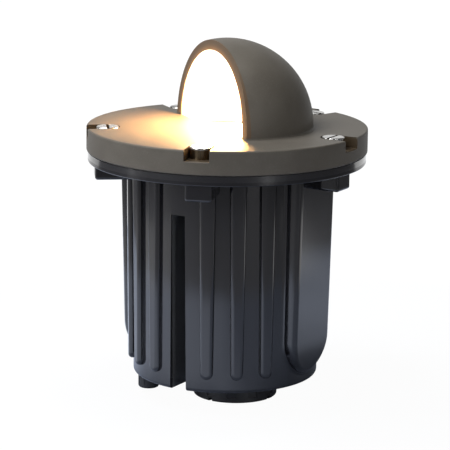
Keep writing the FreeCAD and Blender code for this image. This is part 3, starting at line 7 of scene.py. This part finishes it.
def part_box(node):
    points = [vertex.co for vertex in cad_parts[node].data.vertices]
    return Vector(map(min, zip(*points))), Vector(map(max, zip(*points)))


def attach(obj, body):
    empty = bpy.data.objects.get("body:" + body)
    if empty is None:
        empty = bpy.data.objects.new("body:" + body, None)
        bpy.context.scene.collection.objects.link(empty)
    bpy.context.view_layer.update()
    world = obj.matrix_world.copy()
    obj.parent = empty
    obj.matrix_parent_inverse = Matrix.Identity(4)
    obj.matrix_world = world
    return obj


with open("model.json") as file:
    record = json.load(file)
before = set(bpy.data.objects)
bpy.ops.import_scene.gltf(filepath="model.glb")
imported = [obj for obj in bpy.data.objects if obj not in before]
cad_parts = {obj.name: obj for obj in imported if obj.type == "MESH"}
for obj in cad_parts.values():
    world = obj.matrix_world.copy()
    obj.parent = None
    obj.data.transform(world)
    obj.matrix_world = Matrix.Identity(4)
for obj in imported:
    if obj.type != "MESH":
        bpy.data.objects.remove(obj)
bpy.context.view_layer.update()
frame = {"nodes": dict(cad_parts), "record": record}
nodes = frame["nodes"]

MM = 0.001

# ---- the light's own places, which its finishes follow ----
casting_low, casting_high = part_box("cover_casting")
HOOD_R = 66.1 * MM
HOOD_WALL = 7.8 * MM
HOOD_RISE = 1.3 * MM
COVER_R = casting_high.x
COVER_LOW = casting_low.z
COVER_TOP = casting_high.z - HOOD_R - HOOD_RISE
EDGE_FROM_R = COVER_R - 1.35 * MM
EDGE_FROM_Z = COVER_TOP - 1.35 * MM
NOTCH_LOW = COVER_LOW + 1 * MM
NOTCH_TOP = COVER_TOP - 0.2 * MM
NOTCH_FROM_R = 80.0 * MM
NOTCH_TO_R = COVER_R - 0.15 * MM
HOOD_CENTRE = (0.0, 0.0, COVER_TOP + HOOD_RISE)
HOOD_R_IN = HOOD_R - HOOD_WALL
HOOD_SKIN_R = HOOD_R_IN + 0.6 * MM
HOOD_FROM_Z = COVER_TOP + 0.2 * MM
MOUTH_Y = -13.9 * MM
RIM_FROM_R = HOOD_R_IN + 0.05 * MM
RIM_TO_Y = MOUTH_Y + 3.5 * MM
CAN_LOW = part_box("housing_can")[0].z
BELOW_FLANGE_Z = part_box("housing_can")[1].z - 0.2 * MM
CAN_INSIDE_R = 68.4 * MM
CAN_INSIDE_SLOPE = 0.0262
SCREW_HEAD_LOW = COVER_TOP - 1.3 * MM
TOOL_MARK_RATE = 9000.0

# ---- spans that a mask changes over ----
MIDDLE = (0.3, 0.7)
RUB_OUTWARD = (COVER_R - 1.6 * MM, COVER_R - 0.2 * MM)
RUB_UPWARD = (COVER_TOP - 1.4 * MM, COVER_TOP - 0.2 * MM)
RUB_PATCHES = (0.5, 0.7)
SPECKS = (0.55, 0.8)
RIM_FOOT = (COVER_TOP + 0.4 * MM, COVER_TOP + 3 * MM)
# span over which the painted glow on the rim face fades out from the mouth's inside
RIM_PAINTED_GLOW_FADE = (HOOD_R_IN - 0.5 * MM, HOOD_R_IN + 9.0 * MM)
ENAMEL_FROM_LIP = (MOUTH_Y - 0.5 * MM, MOUTH_Y + 5 * MM)
DUST_UPWARD = (CAN_LOW, CAN_LOW + 110 * MM)
DUST_PATCHES = (0.56, 0.78)
UNDER_FLANGE = (130 * MM, 184 * MM)
INSIDE_DEEP = (0.2 * MM, 0.8 * MM)
GLASS_OUTWARD = (20 * MM, 62 * MM)

# ---- how far a mask takes its colour, painted light, dust or gloss ----
SPECK_SHARE = 0.35
RUB_SHARE = 0.2
# share of the lamp's painted warm light on the rim face
RIM_PAINTED_WARM_SHARE = 0.55
DUST_SHARE = 0.3
GLOSS_LOST = 0.7
GLASS_FADE = 0.6

# ---- colours of the cover and the can, with painted shade and painted light among them ----
BRONZE_DARK = (0.086, 0.077, 0.064, 1.0)
BRONZE_PALE = (0.102, 0.092, 0.077, 1.0)
BRONZE_SPECK = (0.13, 0.126, 0.115, 1.0)
BRONZE_RUBBED = (0.16, 0.155, 0.145, 1.0)
# painted shade: brown that darkens the screw notches where shade falls
NOTCH_PAINTED_SHADE = (0.046, 0.032, 0.018, 1.0)
# painted warm light: brown on the rim face round the hood's mouth, standing in for the lamp's warm light
# that falls on it
RIM_PAINTED_WARM_LIGHT = (0.055, 0.037, 0.02, 1.0)
# painted warm light: orange-brown on the white enamel at the hood's lip, standing in for the lamp's warm
# light there
LIP_PAINTED_WARM_LIGHT = (0.16, 0.1, 0.05, 1.0)
ENAMEL_WHITE = (0.83, 0.81, 0.77, 1.0)
CAN_BLACK = (0.0065, 0.0065, 0.0085, 1.0)
CAN_FLOW_MARK = (0.0090, 0.0092, 0.0122, 1.0)
DUST_GREY = (0.03, 0.03, 0.035, 1.0)
# painted light: paler grey for the can's inside and its cable channels, standing in for light that reaches
# into them
INSIDE_PAINTED_LIGHT = (0.075, 0.077, 0.081, 1.0)
# painted shade and painted reflection: brown for the sides of the cover screws' heads, which stand in the
# notches' shade and mirror their bronze walls
HEAD_SIDE_PAINTED_SHADE = (0.24, 0.18, 0.115, 1.0)

# ---- the lamp's light ----
LAMP_WARM = (1.0, 0.54, 0.27, 1.0)
LAMP_DEEP = (0.9, 0.5, 0.27, 1.0)
LAMP_GLOW = 3.0
CHIP_GLOW = 12.0
GLASS_WARM = (1.0, 0.86, 0.68, 1.0)
GLASS_DIM = (0.25, 0.18, 0.12, 1.0)
GLASS_GLOW = 8.0
# painted glow: emission on the rim face, which is no lamp, standing in for the lamp's warm light on it;
# strong near the mouth's inside, faint further out
RIM_PAINTED_GLOW = (0.30, 0.13, 0.03, 1.0)
RIM_PAINTED_GLOW_FAINT = (0.035, 0.013, 0.001, 1.0)

SPILL_WARM = (1.0, 0.43, 0.10)
SPILL_WATTS = 3.8
SPILL_SIZE = 8.0 * MM
SPILL_PLACE = (5 * MM, 5.0 * MM, COVER_TOP + 45 * MM)
SPILL_SPREAD = math.radians(135.5)
SPILL_BLEND = 0.22

MOUTH_CREAM = (1.0, 0.58, 0.24)
MOUTH_WATTS = 0.95
MOUTH_WIDE = 80 * MM
MOUTH_HIGH = 40 * MM
MOUTH_PLACE = (6 * MM, MOUTH_Y + 12 * MM, COVER_TOP + 24 * MM)
MOUTH_AIM = (math.radians(-90), 0, math.radians(6))

# ---- camera ----
TURN = math.radians(65.4)
CAM_TILT = math.radians(12.35)
CAM_ROLL = math.radians(-0.546)
CAM_FAR = 2.0
CAM_FOCAL = 2584.0
CAM_SIDE = -0.98 * MM
CAM_UP = -78.19 * MM
CAM_CLIP = 60.0
SENSOR_WIDE = 36.0
PHOTO_SIDE = 450.0

# ---- floor and room ----
FLOOR_SIDE = 30.0
PAPER_BEFORE = 0.42
PAPER_BESIDE = 0.47
PAPER_EDGE = (0.9, 1.1)
PAPER_SEEN = 0.94
PAPER_WHITE = 1.03
PAPER_LIT = (0.56, 0.62, 0.76, 1.0)
PAPER_SHADED = (0.15, 0.18, 0.26, 1.0)
TABLE_GREY = (0.22, 0.22, 0.23, 1.0)
SHADE_RIGHTWARD = (-60 * MM, 90 * MM)
SHADE_FORWARD = (-20 * MM, 60 * MM)
SHADE_OUTWARD = (90 * MM, 190 * MM)
SHADE_BESIDE = 0.75
SHADE_NEAR = 0.85

ROOM_DIM = 0.14
ROOM_FRONT = 0.07
BACKDROP_WHITE = 0.8
BACKDROP_EDGE = (0.68, 0.76)
SWEEP_EDGE = (0.56, 0.62)
STRIP_SLANT = (0.3, 0.5)
STRIP_NEAR_END = (0.36, 0.48)
STRIP_FAR_END = (0.62, 0.74)
STRIP_LEFT = 0.45
STRIP_RIGHT_MORE = 0.55

# Each soft lamp: place and aim as across, away from and above the cover's middle, then width, height
# and watts.
SOFTBOXES = {
    "overhead": ((-0.35, -0.1, 0.75), (0, 0, -0.1), 0.5, 0.5, 10),
    "left_front": ((-1.5, -1.3, 0.6), (0, 0, 0), 0.6, 0.6, 11.5),
    "left_side": ((-1.45, -0.25, 0.2), (0, 0, -0.1), 0.12, 1.0, 6.5),
    "right_front": ((0.75, -1.2, 0.2), (0, 0, -0.1), 0.2, 1.0, 5.5),
}

MIX_FIRST = 6
MIX_SECOND = 7
MIX_COLOUR_OUT = 2


# ---- shader maths ----
class Sock:
    """A shader socket that takes part in Python expressions."""

    def __init__(self, mat, socket):
        self.mat = mat
        self.socket = socket

    def join(self, operation, *others):
        return self.mat.node("ShaderNodeMath", {"operation": operation}, dict(enumerate((self,) + others)))

    def __add__(self, other):
        return self.join("ADD", other)

    def __radd__(self, other):
        return self.join("ADD", other)

    def __sub__(self, other):
        return self.join("SUBTRACT", other)

    def __rsub__(self, other):
        return self.mat.node("ShaderNodeMath", {"operation": "SUBTRACT"}, {0: other, 1: self})

    def __mul__(self, other):
        return self.join("MULTIPLY", other)

    def __rmul__(self, other):
        return self.join("MULTIPLY", other)

    def __truediv__(self, other):
        return self.join("DIVIDE", other)

    def __neg__(self):
        return self * -1.0

    def __gt__(self, other):
        return self.join("GREATER_THAN", other)

    def __lt__(self, other):
        return self.join("LESS_THAN", other)

    def clamp(self):
        return self.mat.node("ShaderNodeClamp", {}, {"Value": self})

    def high(self, other):
        return self.join("MAXIMUM", other)

    def size(self):
        return self.join("ABSOLUTE")

    def root(self):
        return self.join("SQRT")

    def sine(self):
        return self.join("SINE")

    def ramp(self, start, end):
        """0 at start, 1 at end, and smooth between."""
        return self.mat.node("ShaderNodeMapRange", {"interpolation_type": "SMOOTHSTEP"}, {
            "Value": self, "From Min": start, "From Max": end})


class Finish:
    """A material with one method for any node, and the patterns that this light's finishes share."""

    def __init__(self, name, world=None):
        self.material = world or bpy.data.materials.new(name)
        self.material.use_nodes = True
        self.tree = self.material.node_tree
        self.tree.nodes.clear()
        self.out = self.tree.nodes.new("ShaderNodeOutputWorld" if world else "ShaderNodeOutputMaterial")
        self.place = self.node("ShaderNodeTexCoord", {}, {}, "Generated" if world else "Object")
        split = self.node("ShaderNodeSeparateXYZ", {}, {0: self.place}, None)
        self.x, self.y, self.z = (Sock(self, split.outputs[n]) for n in range(3))

    def node(self, kind, settings, links, output=0):
        """A node of any kind with its settings, then its sockets' values or links; None gives the node."""
        made = self.tree.nodes.new(kind)
        for key, value in settings.items():
            setattr(made, key, value)
        for key, value in links.items():
            target = made.inputs[key]
            if isinstance(value, Sock):
                self.tree.links.new(value.socket, target)
            else:
                target.default_value = value
        if output is None:
            return made
        return Sock(self, made.outputs[output])

    def noise(self, scale, detail=3.0, rough=0.55, place=None):
        return self.node("ShaderNodeTexNoise", {}, {
            "Vector": place or self.place, "Scale": scale, "Detail": detail, "Roughness": rough}, "Fac")

    def cells(self, scale):
        return self.node("ShaderNodeTexVoronoi", {}, {"Vector": self.place, "Scale": scale}, "Distance")

    def stretched(self, sx=1.0, sy=1.0, sz=1.0):
        return self.node("ShaderNodeMapping", {}, {"Vector": self.place, "Scale": (sx, sy, sz)})

    def blend(self, share, first, second):
        """Colour that goes from first to second."""
        return self.node("ShaderNodeMix", {"data_type": "RGBA"}, {
            0: share, MIX_FIRST: first, MIX_SECOND: second}, MIX_COLOUR_OUT)

    def bump(self, height, distance, strength):
        return self.node("ShaderNodeBump", {}, {
            "Height": height, "Distance": distance, "Strength": strength}, "Normal")

    def shader(self, **sockets):
        links = {key.replace("_", " "): value for key, value in sockets.items()}
        return self.node("ShaderNodeBsdfPrincipled", {}, links)

    def rays(self):
        """Masks of the rays from the camera, and of those by way of a glossy surface or glass."""
        path = self.node("ShaderNodeLightPath", {}, {}, None)
        mirrored = Sock(self, path.outputs["Is Glossy Ray"])
        through = Sock(self, path.outputs["Is Transmission Ray"])
        return Sock(self, path.outputs["Is Camera Ray"]), mirrored.high(through)

    def finish(self, surface):
        self.tree.links.new(surface.socket, self.out.inputs["Surface"])
        return self.material

    def from_axis(self):
        """Distance from the light's upright axis."""
        return (self.x * self.x + self.y * self.y).root()

    def from_point(self, point):
        dx, dy, dz = self.x - point[0], self.y - point[1], self.z - point[2]
        return (dx * dx + dy * dy + dz * dz).root()


def rgb(r, g, b):
    return (r, g, b, 1.0)


def grey(value):
    return rgb(value, value, value)


# ---- finishes ----
def in_notch(f):
    """Mask of the cover's screw notches, without the plate's rounded edge; the coat there takes painted
    shade.
    """
    below = (f.z < NOTCH_TOP) * (f.z > NOTCH_LOW)
    within = (f.from_axis() > NOTCH_FROM_R) * (f.from_axis() < NOTCH_TO_R)
    on_edge = (f.from_axis() > EDGE_FROM_R) * (f.z > EDGE_FROM_Z)
    return below * within * (1.0 - on_edge)


def on_rim_face(f):
    """Mask of the hood's rim face, which stands round its mouth; there the coat takes the lamp's warm
    light as painted brown and a painted glow.
    """
    above = f.z.ramp(*RIM_FOOT) * (f.y < 0.0)
    outside = f.from_point(HOOD_CENTRE) > RIM_FROM_R
    return above * outside * (f.y < RIM_TO_Y)


def in_hood(f):
    """Mask of the hood's inside, and of the window's edge behind its mouth."""
    open_to_lamp = (f.z > HOOD_FROM_Z).high(f.y > MOUTH_Y)
    return (f.from_point(HOOD_CENTRE) < HOOD_SKIN_R) * open_to_lamp


def powder_coat():
    """Dark bronze-grey textured coat, browner in the notches from painted shade, and round the mouth with
    the lamp's warm light painted on as a brown tint and a faint painted glow.

    The hood's inside is white enamel, with the lamp's warm light painted on as orange-brown near its lip.
    """
    f = Finish("bronze_powder_coat")
    grain = f.noise(scale=2600.0, detail=2.0, rough=0.6)
    cloud = f.noise(scale=38.0)
    speck = f.noise(scale=900.0, detail=1.0)
    edge = f.from_axis().ramp(*RUB_OUTWARD) * f.z.ramp(*RUB_UPWARD)
    rub = (edge * f.noise(scale=160.0, detail=4.0).ramp(*RUB_PATCHES)).clamp()
    rim_face = on_rim_face(f)
    coat = f.blend(cloud.ramp(*MIDDLE), BRONZE_DARK, BRONZE_PALE)
    coat = f.blend(speck.ramp(*SPECKS) * SPECK_SHARE, coat, BRONZE_SPECK)
    coat = f.blend(rub * RUB_SHARE, coat, BRONZE_RUBBED)
    # painted shade in the screw notches
    coat = f.blend(in_notch(f), coat, NOTCH_PAINTED_SHADE)
    # painted warm light of the lamp on the rim face
    coat = f.blend(rim_face * RIM_PAINTED_WARM_SHARE, coat, RIM_PAINTED_WARM_LIGHT)
    # white enamel inside the hood, with the lamp's warm light painted on as orange-brown near the lip
    enamel = f.blend(f.y.ramp(*ENAMEL_FROM_LIP), LIP_PAINTED_WARM_LIGHT, ENAMEL_WHITE)
    # painted glow of the lamp's warm light on the rim face, strongest at the mouth's inside
    near = 1.0 - f.from_point(HOOD_CENTRE).ramp(*RIM_PAINTED_GLOW_FADE)
    glow = f.blend(near * near * near, RIM_PAINTED_GLOW_FAINT, RIM_PAINTED_GLOW)
    return f.finish(f.shader(
        Base_Color=f.blend(in_hood(f), coat, enamel),
        Roughness=0.48 + cloud * 0.08 + (grain - 0.5) * 0.12,
        Normal=f.bump(grain, distance=0.08 * MM, strength=0.5),
        IOR=1.45, Specular_IOR_Level=0.3,
        Emission_Color=f.blend(rim_face, grey(0.0), glow), Emission_Strength=1.0))


def glossy_black():
    """The can's moulded black plastic: polished, with faint flow marks and a little dust low down.

    Its gloss fades towards the flange, and painted light makes the can's inside and its cable channels a
    paler grey.
    """
    f = Finish("glossy_black_moulding")
    flow = f.noise(scale=16.0, detail=3.0, rough=0.5, place=f.stretched(sz=0.25))
    ripple = f.noise(scale=70.0, detail=2.0, rough=0.5)
    low_down = 1.0 - f.z.ramp(*DUST_UPWARD)
    dust = f.noise(scale=420.0, detail=4.0, rough=0.7).ramp(*DUST_PATCHES) * low_down * DUST_SHARE
    under = f.z.ramp(*UNDER_FLANGE) * (f.z < BELOW_FLANGE_Z)
    # the can's inside and its cable channels take painted light as paler grey
    inside_r = CAN_INSIDE_R + (f.z - CAN_LOW) * CAN_INSIDE_SLOPE
    inside = (inside_r - f.from_axis()).ramp(*INSIDE_DEEP)
    black = f.blend(flow.ramp(*MIDDLE), CAN_BLACK, CAN_FLOW_MARK)
    black = f.blend(dust, black, DUST_GREY)
    return f.finish(f.shader(
        Base_Color=f.blend(inside, black, INSIDE_PAINTED_LIGHT),
        Roughness=0.12 + flow * 0.05 + dust * 0.3,
        Normal=f.bump(ripple, distance=0.06 * MM, strength=0.3),
        IOR=1.52, Coat_Weight=1.0 - under * GLOSS_LOST, Coat_Roughness=0.05, Coat_IOR=1.5))


def satin_black():
    """Fine spark-eroded texture of the hub, gland and locknuts."""
    f = Finish("satin_black_moulding")
    grain = f.noise(scale=1800.0, detail=2.0, rough=0.6)
    cloud = f.noise(scale=60.0)
    return f.finish(f.shader(
        Base_Color=f.blend(cloud, rgb(0.020, 0.021, 0.025), rgb(0.032, 0.033, 0.038)),
        Roughness=0.33 + cloud * 0.15,
        Normal=f.bump(grain, distance=0.05 * MM, strength=0.5)))


def bright_steel():
    """Stainless screws: fine streaks and a few handling scratches; the sides of the cover screws' heads
    take painted shade and a painted reflection of the notches' bronze, in brown.
    """
    f = Finish("turned_stainless")
    brushed = f.noise(scale=700.0, detail=3.0, rough=0.6, place=f.stretched(sz=0.05))
    scratch = f.noise(scale=1400.0, detail=2.0, rough=0.7, place=f.stretched(sx=0.08))
    # sides of the cover screws' heads, which take painted shade and a painted bronze reflection
    head_side = (f.z < SCREW_HEAD_LOW) * (f.z > COVER_LOW)
    steel = f.blend(brushed, rgb(0.52, 0.515, 0.5), rgb(0.74, 0.73, 0.71))
    return f.finish(f.shader(
        Base_Color=f.blend(head_side, steel, HEAD_SIDE_PAINTED_SHADE),
        Roughness=0.2 + brushed * 0.14, Metallic=1.0,
        Normal=f.bump(scratch, distance=0.02 * MM, strength=0.35)))


def zinc_plate():
    """Zinc on sheet steel, with faint spangles."""
    f = Finish("zinc_plated_steel")
    spangle = f.cells(scale=160.0)
    cloud = f.noise(scale=50.0, detail=4.0)
    return f.finish(f.shader(
        Base_Color=f.blend(cloud, rgb(0.48, 0.49, 0.5), rgb(0.64, 0.65, 0.66)),
        Roughness=0.3 + spangle * 0.22, Metallic=1.0,
        Normal=f.bump(f.noise(scale=900.0), distance=0.02 * MM, strength=0.3)))


def cast_aluminium():
    """Bare grainy casting of the lamp body and its bezel."""
    f = Finish("cast_aluminium")
    grain = f.noise(scale=1100.0, detail=4.0, rough=0.65)
    cloud = f.noise(scale=45.0)
    return f.finish(f.shader(
        Base_Color=f.blend(cloud, rgb(0.42, 0.425, 0.43), rgb(0.58, 0.58, 0.585)),
        Roughness=0.42 + grain * 0.16, Metallic=1.0,
        Normal=f.bump(grain, distance=0.06 * MM, strength=0.6)))


def turned_brass():
    """Brass with rings of tool marks and a slight stain."""
    f = Finish("turned_brass")
    ring = (f.z * TOOL_MARK_RATE).sine() * 0.5 + 0.5
    stain = f.noise(scale=130.0, detail=4.0)
    return f.finish(f.shader(
        Base_Color=f.blend(stain, rgb(0.56, 0.4, 0.16), rgb(0.74, 0.58, 0.3)),
        Roughness=0.24 + stain * 0.2, Metallic=1.0,
        Normal=f.bump(ring, distance=0.02 * MM, strength=0.4)))


def seal_rubber():
    """Matt black rubber with a grey bloom."""
    f = Finish("seal_rubber")
    grain = f.noise(scale=1500.0)
    bloom = f.noise(scale=90.0, detail=4.0)
    return f.finish(f.shader(
        Base_Color=f.blend(bloom, rgb(0.016, 0.016, 0.017), rgb(0.034, 0.034, 0.035)),
        Roughness=0.62 + bloom * 0.2,
        Normal=f.bump(grain, distance=0.04 * MM, strength=0.6)))


def plain_moulding(name, dark, light, rough):
    """Lightly textured plastic of the pieces inside the can."""
    f = Finish(name)
    grain = f.noise(scale=1600.0, detail=2.0)
    cloud = f.noise(scale=70.0)
    return f.finish(f.shader(
        Base_Color=f.blend(cloud, dark, light),
        Roughness=rough + cloud * 0.12,
        Normal=f.bump(grain, distance=0.03 * MM, strength=0.5)))


def lit_glass():
    """The glass under the plate, which glows where the lamp shines through it."""
    f = Finish("lit_glass")
    spread = 1.0 - f.from_axis().ramp(*GLASS_OUTWARD) * GLASS_FADE
    etch = f.noise(scale=1800.0, detail=2.0)
    return f.finish(f.shader(
        Base_Color=rgb(0.92, 0.93, 0.9), Transmission_Weight=0.6,
        Roughness=0.2 + etch * 0.1,
        Normal=f.bump(etch, distance=0.02 * MM, strength=0.3),
        Emission_Color=f.blend(spread, GLASS_DIM, GLASS_WARM), Emission_Strength=GLASS_GLOW))


def lamp_front_glass():
    """The lamp's own glass, with small lens cells."""
    f = Finish("lamp_glass")
    lens_cell = f.cells(scale=300.0)
    return f.finish(f.shader(
        Base_Color=grey(0.9), Transmission_Weight=0.7,
        Roughness=0.12 + lens_cell * 0.1,
        Normal=f.bump(lens_cell, distance=0.3 * MM, strength=0.5),
        Emission_Color=f.blend(lens_cell, LAMP_DEEP, LAMP_WARM), Emission_Strength=LAMP_GLOW))


def phosphor():
    """The lit yellow chip."""
    f = Finish("led_phosphor")
    grain = f.noise(scale=900.0)
    return f.finish(f.shader(
        Base_Color=f.blend(grain, rgb(0.86, 0.66, 0.12), rgb(0.92, 0.76, 0.2)),
        Roughness=0.3 + grain * 0.2,
        Normal=f.bump(grain, distance=0.05 * MM, strength=0.5),
        Emission_Color=LAMP_WARM, Emission_Strength=CHIP_GLOW))


def mirror_coat():
    """Bright metal coat of the reflector, with a slight haze."""
    f = Finish("reflector_coat")
    haze = f.noise(scale=60.0)
    return f.finish(f.shader(
        Base_Color=f.blend(haze, grey(0.84), grey(0.92)),
        Roughness=0.07 + haze * 0.08, Metallic=1.0,
        Normal=f.bump(f.noise(scale=500.0), distance=0.02 * MM, strength=0.3)))


def lead_cover():
    """Black sheath of the leads inside the can, with drawn lines."""
    f = Finish("lead_cover")
    drawn = f.noise(scale=400.0, detail=2.0, rough=0.5, place=f.stretched(sz=0.1))
    return f.finish(f.shader(
        Base_Color=f.blend(drawn, rgb(0.02, 0.02, 0.022), rgb(0.045, 0.045, 0.048)),
        Roughness=0.4 + drawn * 0.15,
        Normal=f.bump(drawn, distance=0.05 * MM, strength=0.5)))


FINISHES = {
    "bronze_coat": powder_coat(),
    "clear_glass": lit_glass(),
    "seal_rubber": seal_rubber(),
    "stainless": bright_steel(),
    "brass": turned_brass(),
    "black_body": glossy_black(),
    "black_fitting": satin_black(),
    "plated_steel": zinc_plate(),
    "cast_lamp": cast_aluminium(),
    "circuit_board": plain_moulding("circuit_board", rgb(0.74, 0.76, 0.74), rgb(0.84, 0.86, 0.84), 0.3),
    "phosphor": phosphor(),
    "reflector": mirror_coat(),
    "driver_shell": plain_moulding("driver_shell", rgb(0.62, 0.62, 0.6), rgb(0.72, 0.72, 0.7), 0.4),
    "terminal_body": plain_moulding("white_moulding", rgb(0.72, 0.71, 0.67), rgb(0.8, 0.79, 0.75), 0.38),
    "lead_sheath": lead_cover(),
    "nylon": plain_moulding("nylon", rgb(0.68, 0.67, 0.62), rgb(0.78, 0.77, 0.72), 0.34),
}
SLOT_OF = {part["node"]: part["material_slot"] for part in frame["record"]["subparts"]}


def dress(node, material):
    mesh = nodes[node].data
    mesh.materials.clear()
    mesh.materials.append(material)


for node, slot in SLOT_OF.items():
    dress(node, FINISHES[slot])
dress("lamp_glass", lamp_front_glass())


# ---- camera ----
def from_photo(x, y, z):
    """A place given across, away from and above the cover's middle, as the camera sees it."""
    across_room = x * math.cos(TURN) - y * math.sin(TURN)
    along_room = x * math.sin(TURN) + y * math.cos(TURN)
    return Vector((across_room, along_room, z + COVER_TOP))


def way(x, y, z):
    """A direction given in the same three measures."""
    return from_photo(x, y, z) - from_photo(0, 0, 0)


def link(name, data):
    """An object of the scene that shows the given camera or lamp."""
    made = bpy.data.objects.new(name, data)
    bpy.context.scene.collection.objects.link(made)
    return made


across = way(1, 0, 0)
up = way(0, math.sin(CAM_TILT), math.cos(CAM_TILT))
back = way(0, -math.cos(CAM_TILT), math.sin(CAM_TILT))
right = math.cos(CAM_ROLL) * across - math.sin(CAM_ROLL) * up
top = math.sin(CAM_ROLL) * across + math.cos(CAM_ROLL) * up
lens = bpy.data.cameras.new("camera")
camera = link("camera", lens)
camera.matrix_world = Matrix((
    (right.x, top.x, back.x, 0),
    (right.y, top.y, back.y, 0),
    (right.z, top.z, back.z, 0),
    (0, 0, 0, 1)))
camera.location = from_photo(
    CAM_SIDE, -CAM_FAR * math.cos(CAM_TILT), CAM_UP + CAM_FAR * math.sin(CAM_TILT))
lens.sensor_width = SENSOR_WIDE
lens.lens = CAM_FOCAL * SENSOR_WIDE / PHOTO_SIDE
lens.clip_end = CAM_CLIP
bpy.context.scene.camera = camera


# ---- floor and world ----
def side_strips(forward, rightward):
    """Mask of two white strips on the floor, one on either side, which the can's sides mirror."""
    aside = rightward.size()
    level = 1.0 - (forward / rightward).size().ramp(*STRIP_SLANT)
    stretch = aside.ramp(*STRIP_NEAR_END) * (1.0 - aside.ramp(*STRIP_FAR_END))
    return level * stretch * (STRIP_LEFT + STRIP_RIGHT_MORE * (rightward > 0.0))


def floor_finish():
    """Pale paper round the light on a grey table; the camera sees both as white.

    Glossy surfaces see the floor white far behind the light, and on two strips beside it.
    """
    f = Finish("pale_floor")
    seen, glossy = f.rays()
    rightward = f.x * math.cos(TURN) + f.y * math.sin(TURN)
    forward = f.x * math.sin(TURN) - f.y * math.cos(TURN)
    beside = rightward / PAPER_BESIDE
    before = forward / PAPER_BEFORE
    beyond = (beside * beside + before * before).root().ramp(*PAPER_EDGE)
    table = (beside * beside + before.high(0.0) * before.high(0.0)).root().ramp(*PAPER_EDGE)
    near = 1.0 - f.from_axis().ramp(*SHADE_OUTWARD)
    aside = rightward.ramp(*SHADE_RIGHTWARD) * forward.ramp(*SHADE_FORWARD) * SHADE_BESIDE
    shade = aside.high(near * SHADE_NEAR)
    paper = f.blend(shade, PAPER_LIT, PAPER_SHADED)
    matt = f.shader(
        Base_Color=f.blend(table, paper, TABLE_GREY),
        Roughness=0.8 + f.noise(scale=300.0, detail=2.0) * 0.1)
    sweep = (-forward).ramp(*SWEEP_EDGE) * BACKDROP_WHITE
    to_camera = seen * (PAPER_SEEN + beyond * (1 - PAPER_SEEN))
    to_gloss = glossy * sweep.high(side_strips(forward, rightward))
    white = f.node("ShaderNodeEmission", {}, {"Color": grey(1.0), "Strength": PAPER_WHITE})
    return f.finish(f.node("ShaderNodeMixShader", {}, {0: to_camera.high(to_gloss), 1: matt, 2: white}))


def room_light(room):
    """White to the camera, dim to matt surfaces; glossy ones see a white backdrop and a dark front."""
    f = Finish("studio", room)
    seen, glossy = f.rays()
    behind = f.y * math.cos(TURN) - f.x * math.sin(TURN)
    mirrored = ROOM_FRONT + behind.ramp(*BACKDROP_EDGE) * (BACKDROP_WHITE - ROOM_FRONT)
    strength = glossy * mirrored + (1.0 - glossy) * ROOM_DIM
    unseen = f.node("ShaderNodeBackground", {}, {"Color": grey(1.0), "Strength": strength})
    white = f.node("ShaderNodeBackground", {}, {"Color": grey(1.0), "Strength": 1.0})
    f.finish(f.node("ShaderNodeMixShader", {}, {0: seen, 1: unseen, 2: white}))


bpy.ops.object.select_all(action="DESELECT")
bpy.ops.mesh.primitive_plane_add(size=FLOOR_SIDE, location=(0, 0, 0))
floor = bpy.context.active_object
floor.name = "floor"
floor.data.materials.append(floor_finish())

world = bpy.data.worlds.new("studio")
bpy.context.scene.world = world
room_light(world)


# ---- lamps ----
def panel(name, wide, high, watts):
    """A flat rectangular lamp."""
    data = bpy.data.lights.new(name, "AREA")
    data.shape = "RECTANGLE"
    data.size = wide
    data.size_y = high
    data.energy = watts
    return link(name, data)


def hood_spill():
    """The lamp's light that spills out of the hood's mouth over the plate, ending at the hood's lip."""
    data = bpy.data.lights.new("hood_spill", "SPOT")
    data.energy = SPILL_WATTS
    data.color = SPILL_WARM
    data.shadow_soft_size = SPILL_SIZE
    data.spot_size = SPILL_SPREAD
    data.spot_blend = SPILL_BLEND
    lamp = link("hood_spill", data)
    lamp.location = SPILL_PLACE
    lamp.visible_camera = False
    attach(lamp, "cover")


def mouth_glow():
    """The light that the hood's white inside throws forward through its mouth."""
    mouth_lamp = panel("mouth_glow", MOUTH_WIDE, MOUTH_HIGH, MOUTH_WATTS)
    mouth_lamp.data.color = MOUTH_CREAM
    mouth_lamp.location = MOUTH_PLACE
    mouth_lamp.rotation_euler = MOUTH_AIM
    mouth_lamp.visible_camera = False
    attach(mouth_lamp, "cover")


hood_spill()
mouth_glow()
for name, (place, aim, wide, high, watts) in SOFTBOXES.items():
    softbox = panel(name, wide, high, watts)
    softbox.location = from_photo(*place)
    softbox.rotation_euler = (from_photo(*aim) - softbox.location).to_track_quat("-Z", "Y").to_euler()

# ---- scene settings ----
bpy.context.scene.view_settings.view_transform = "Standard"
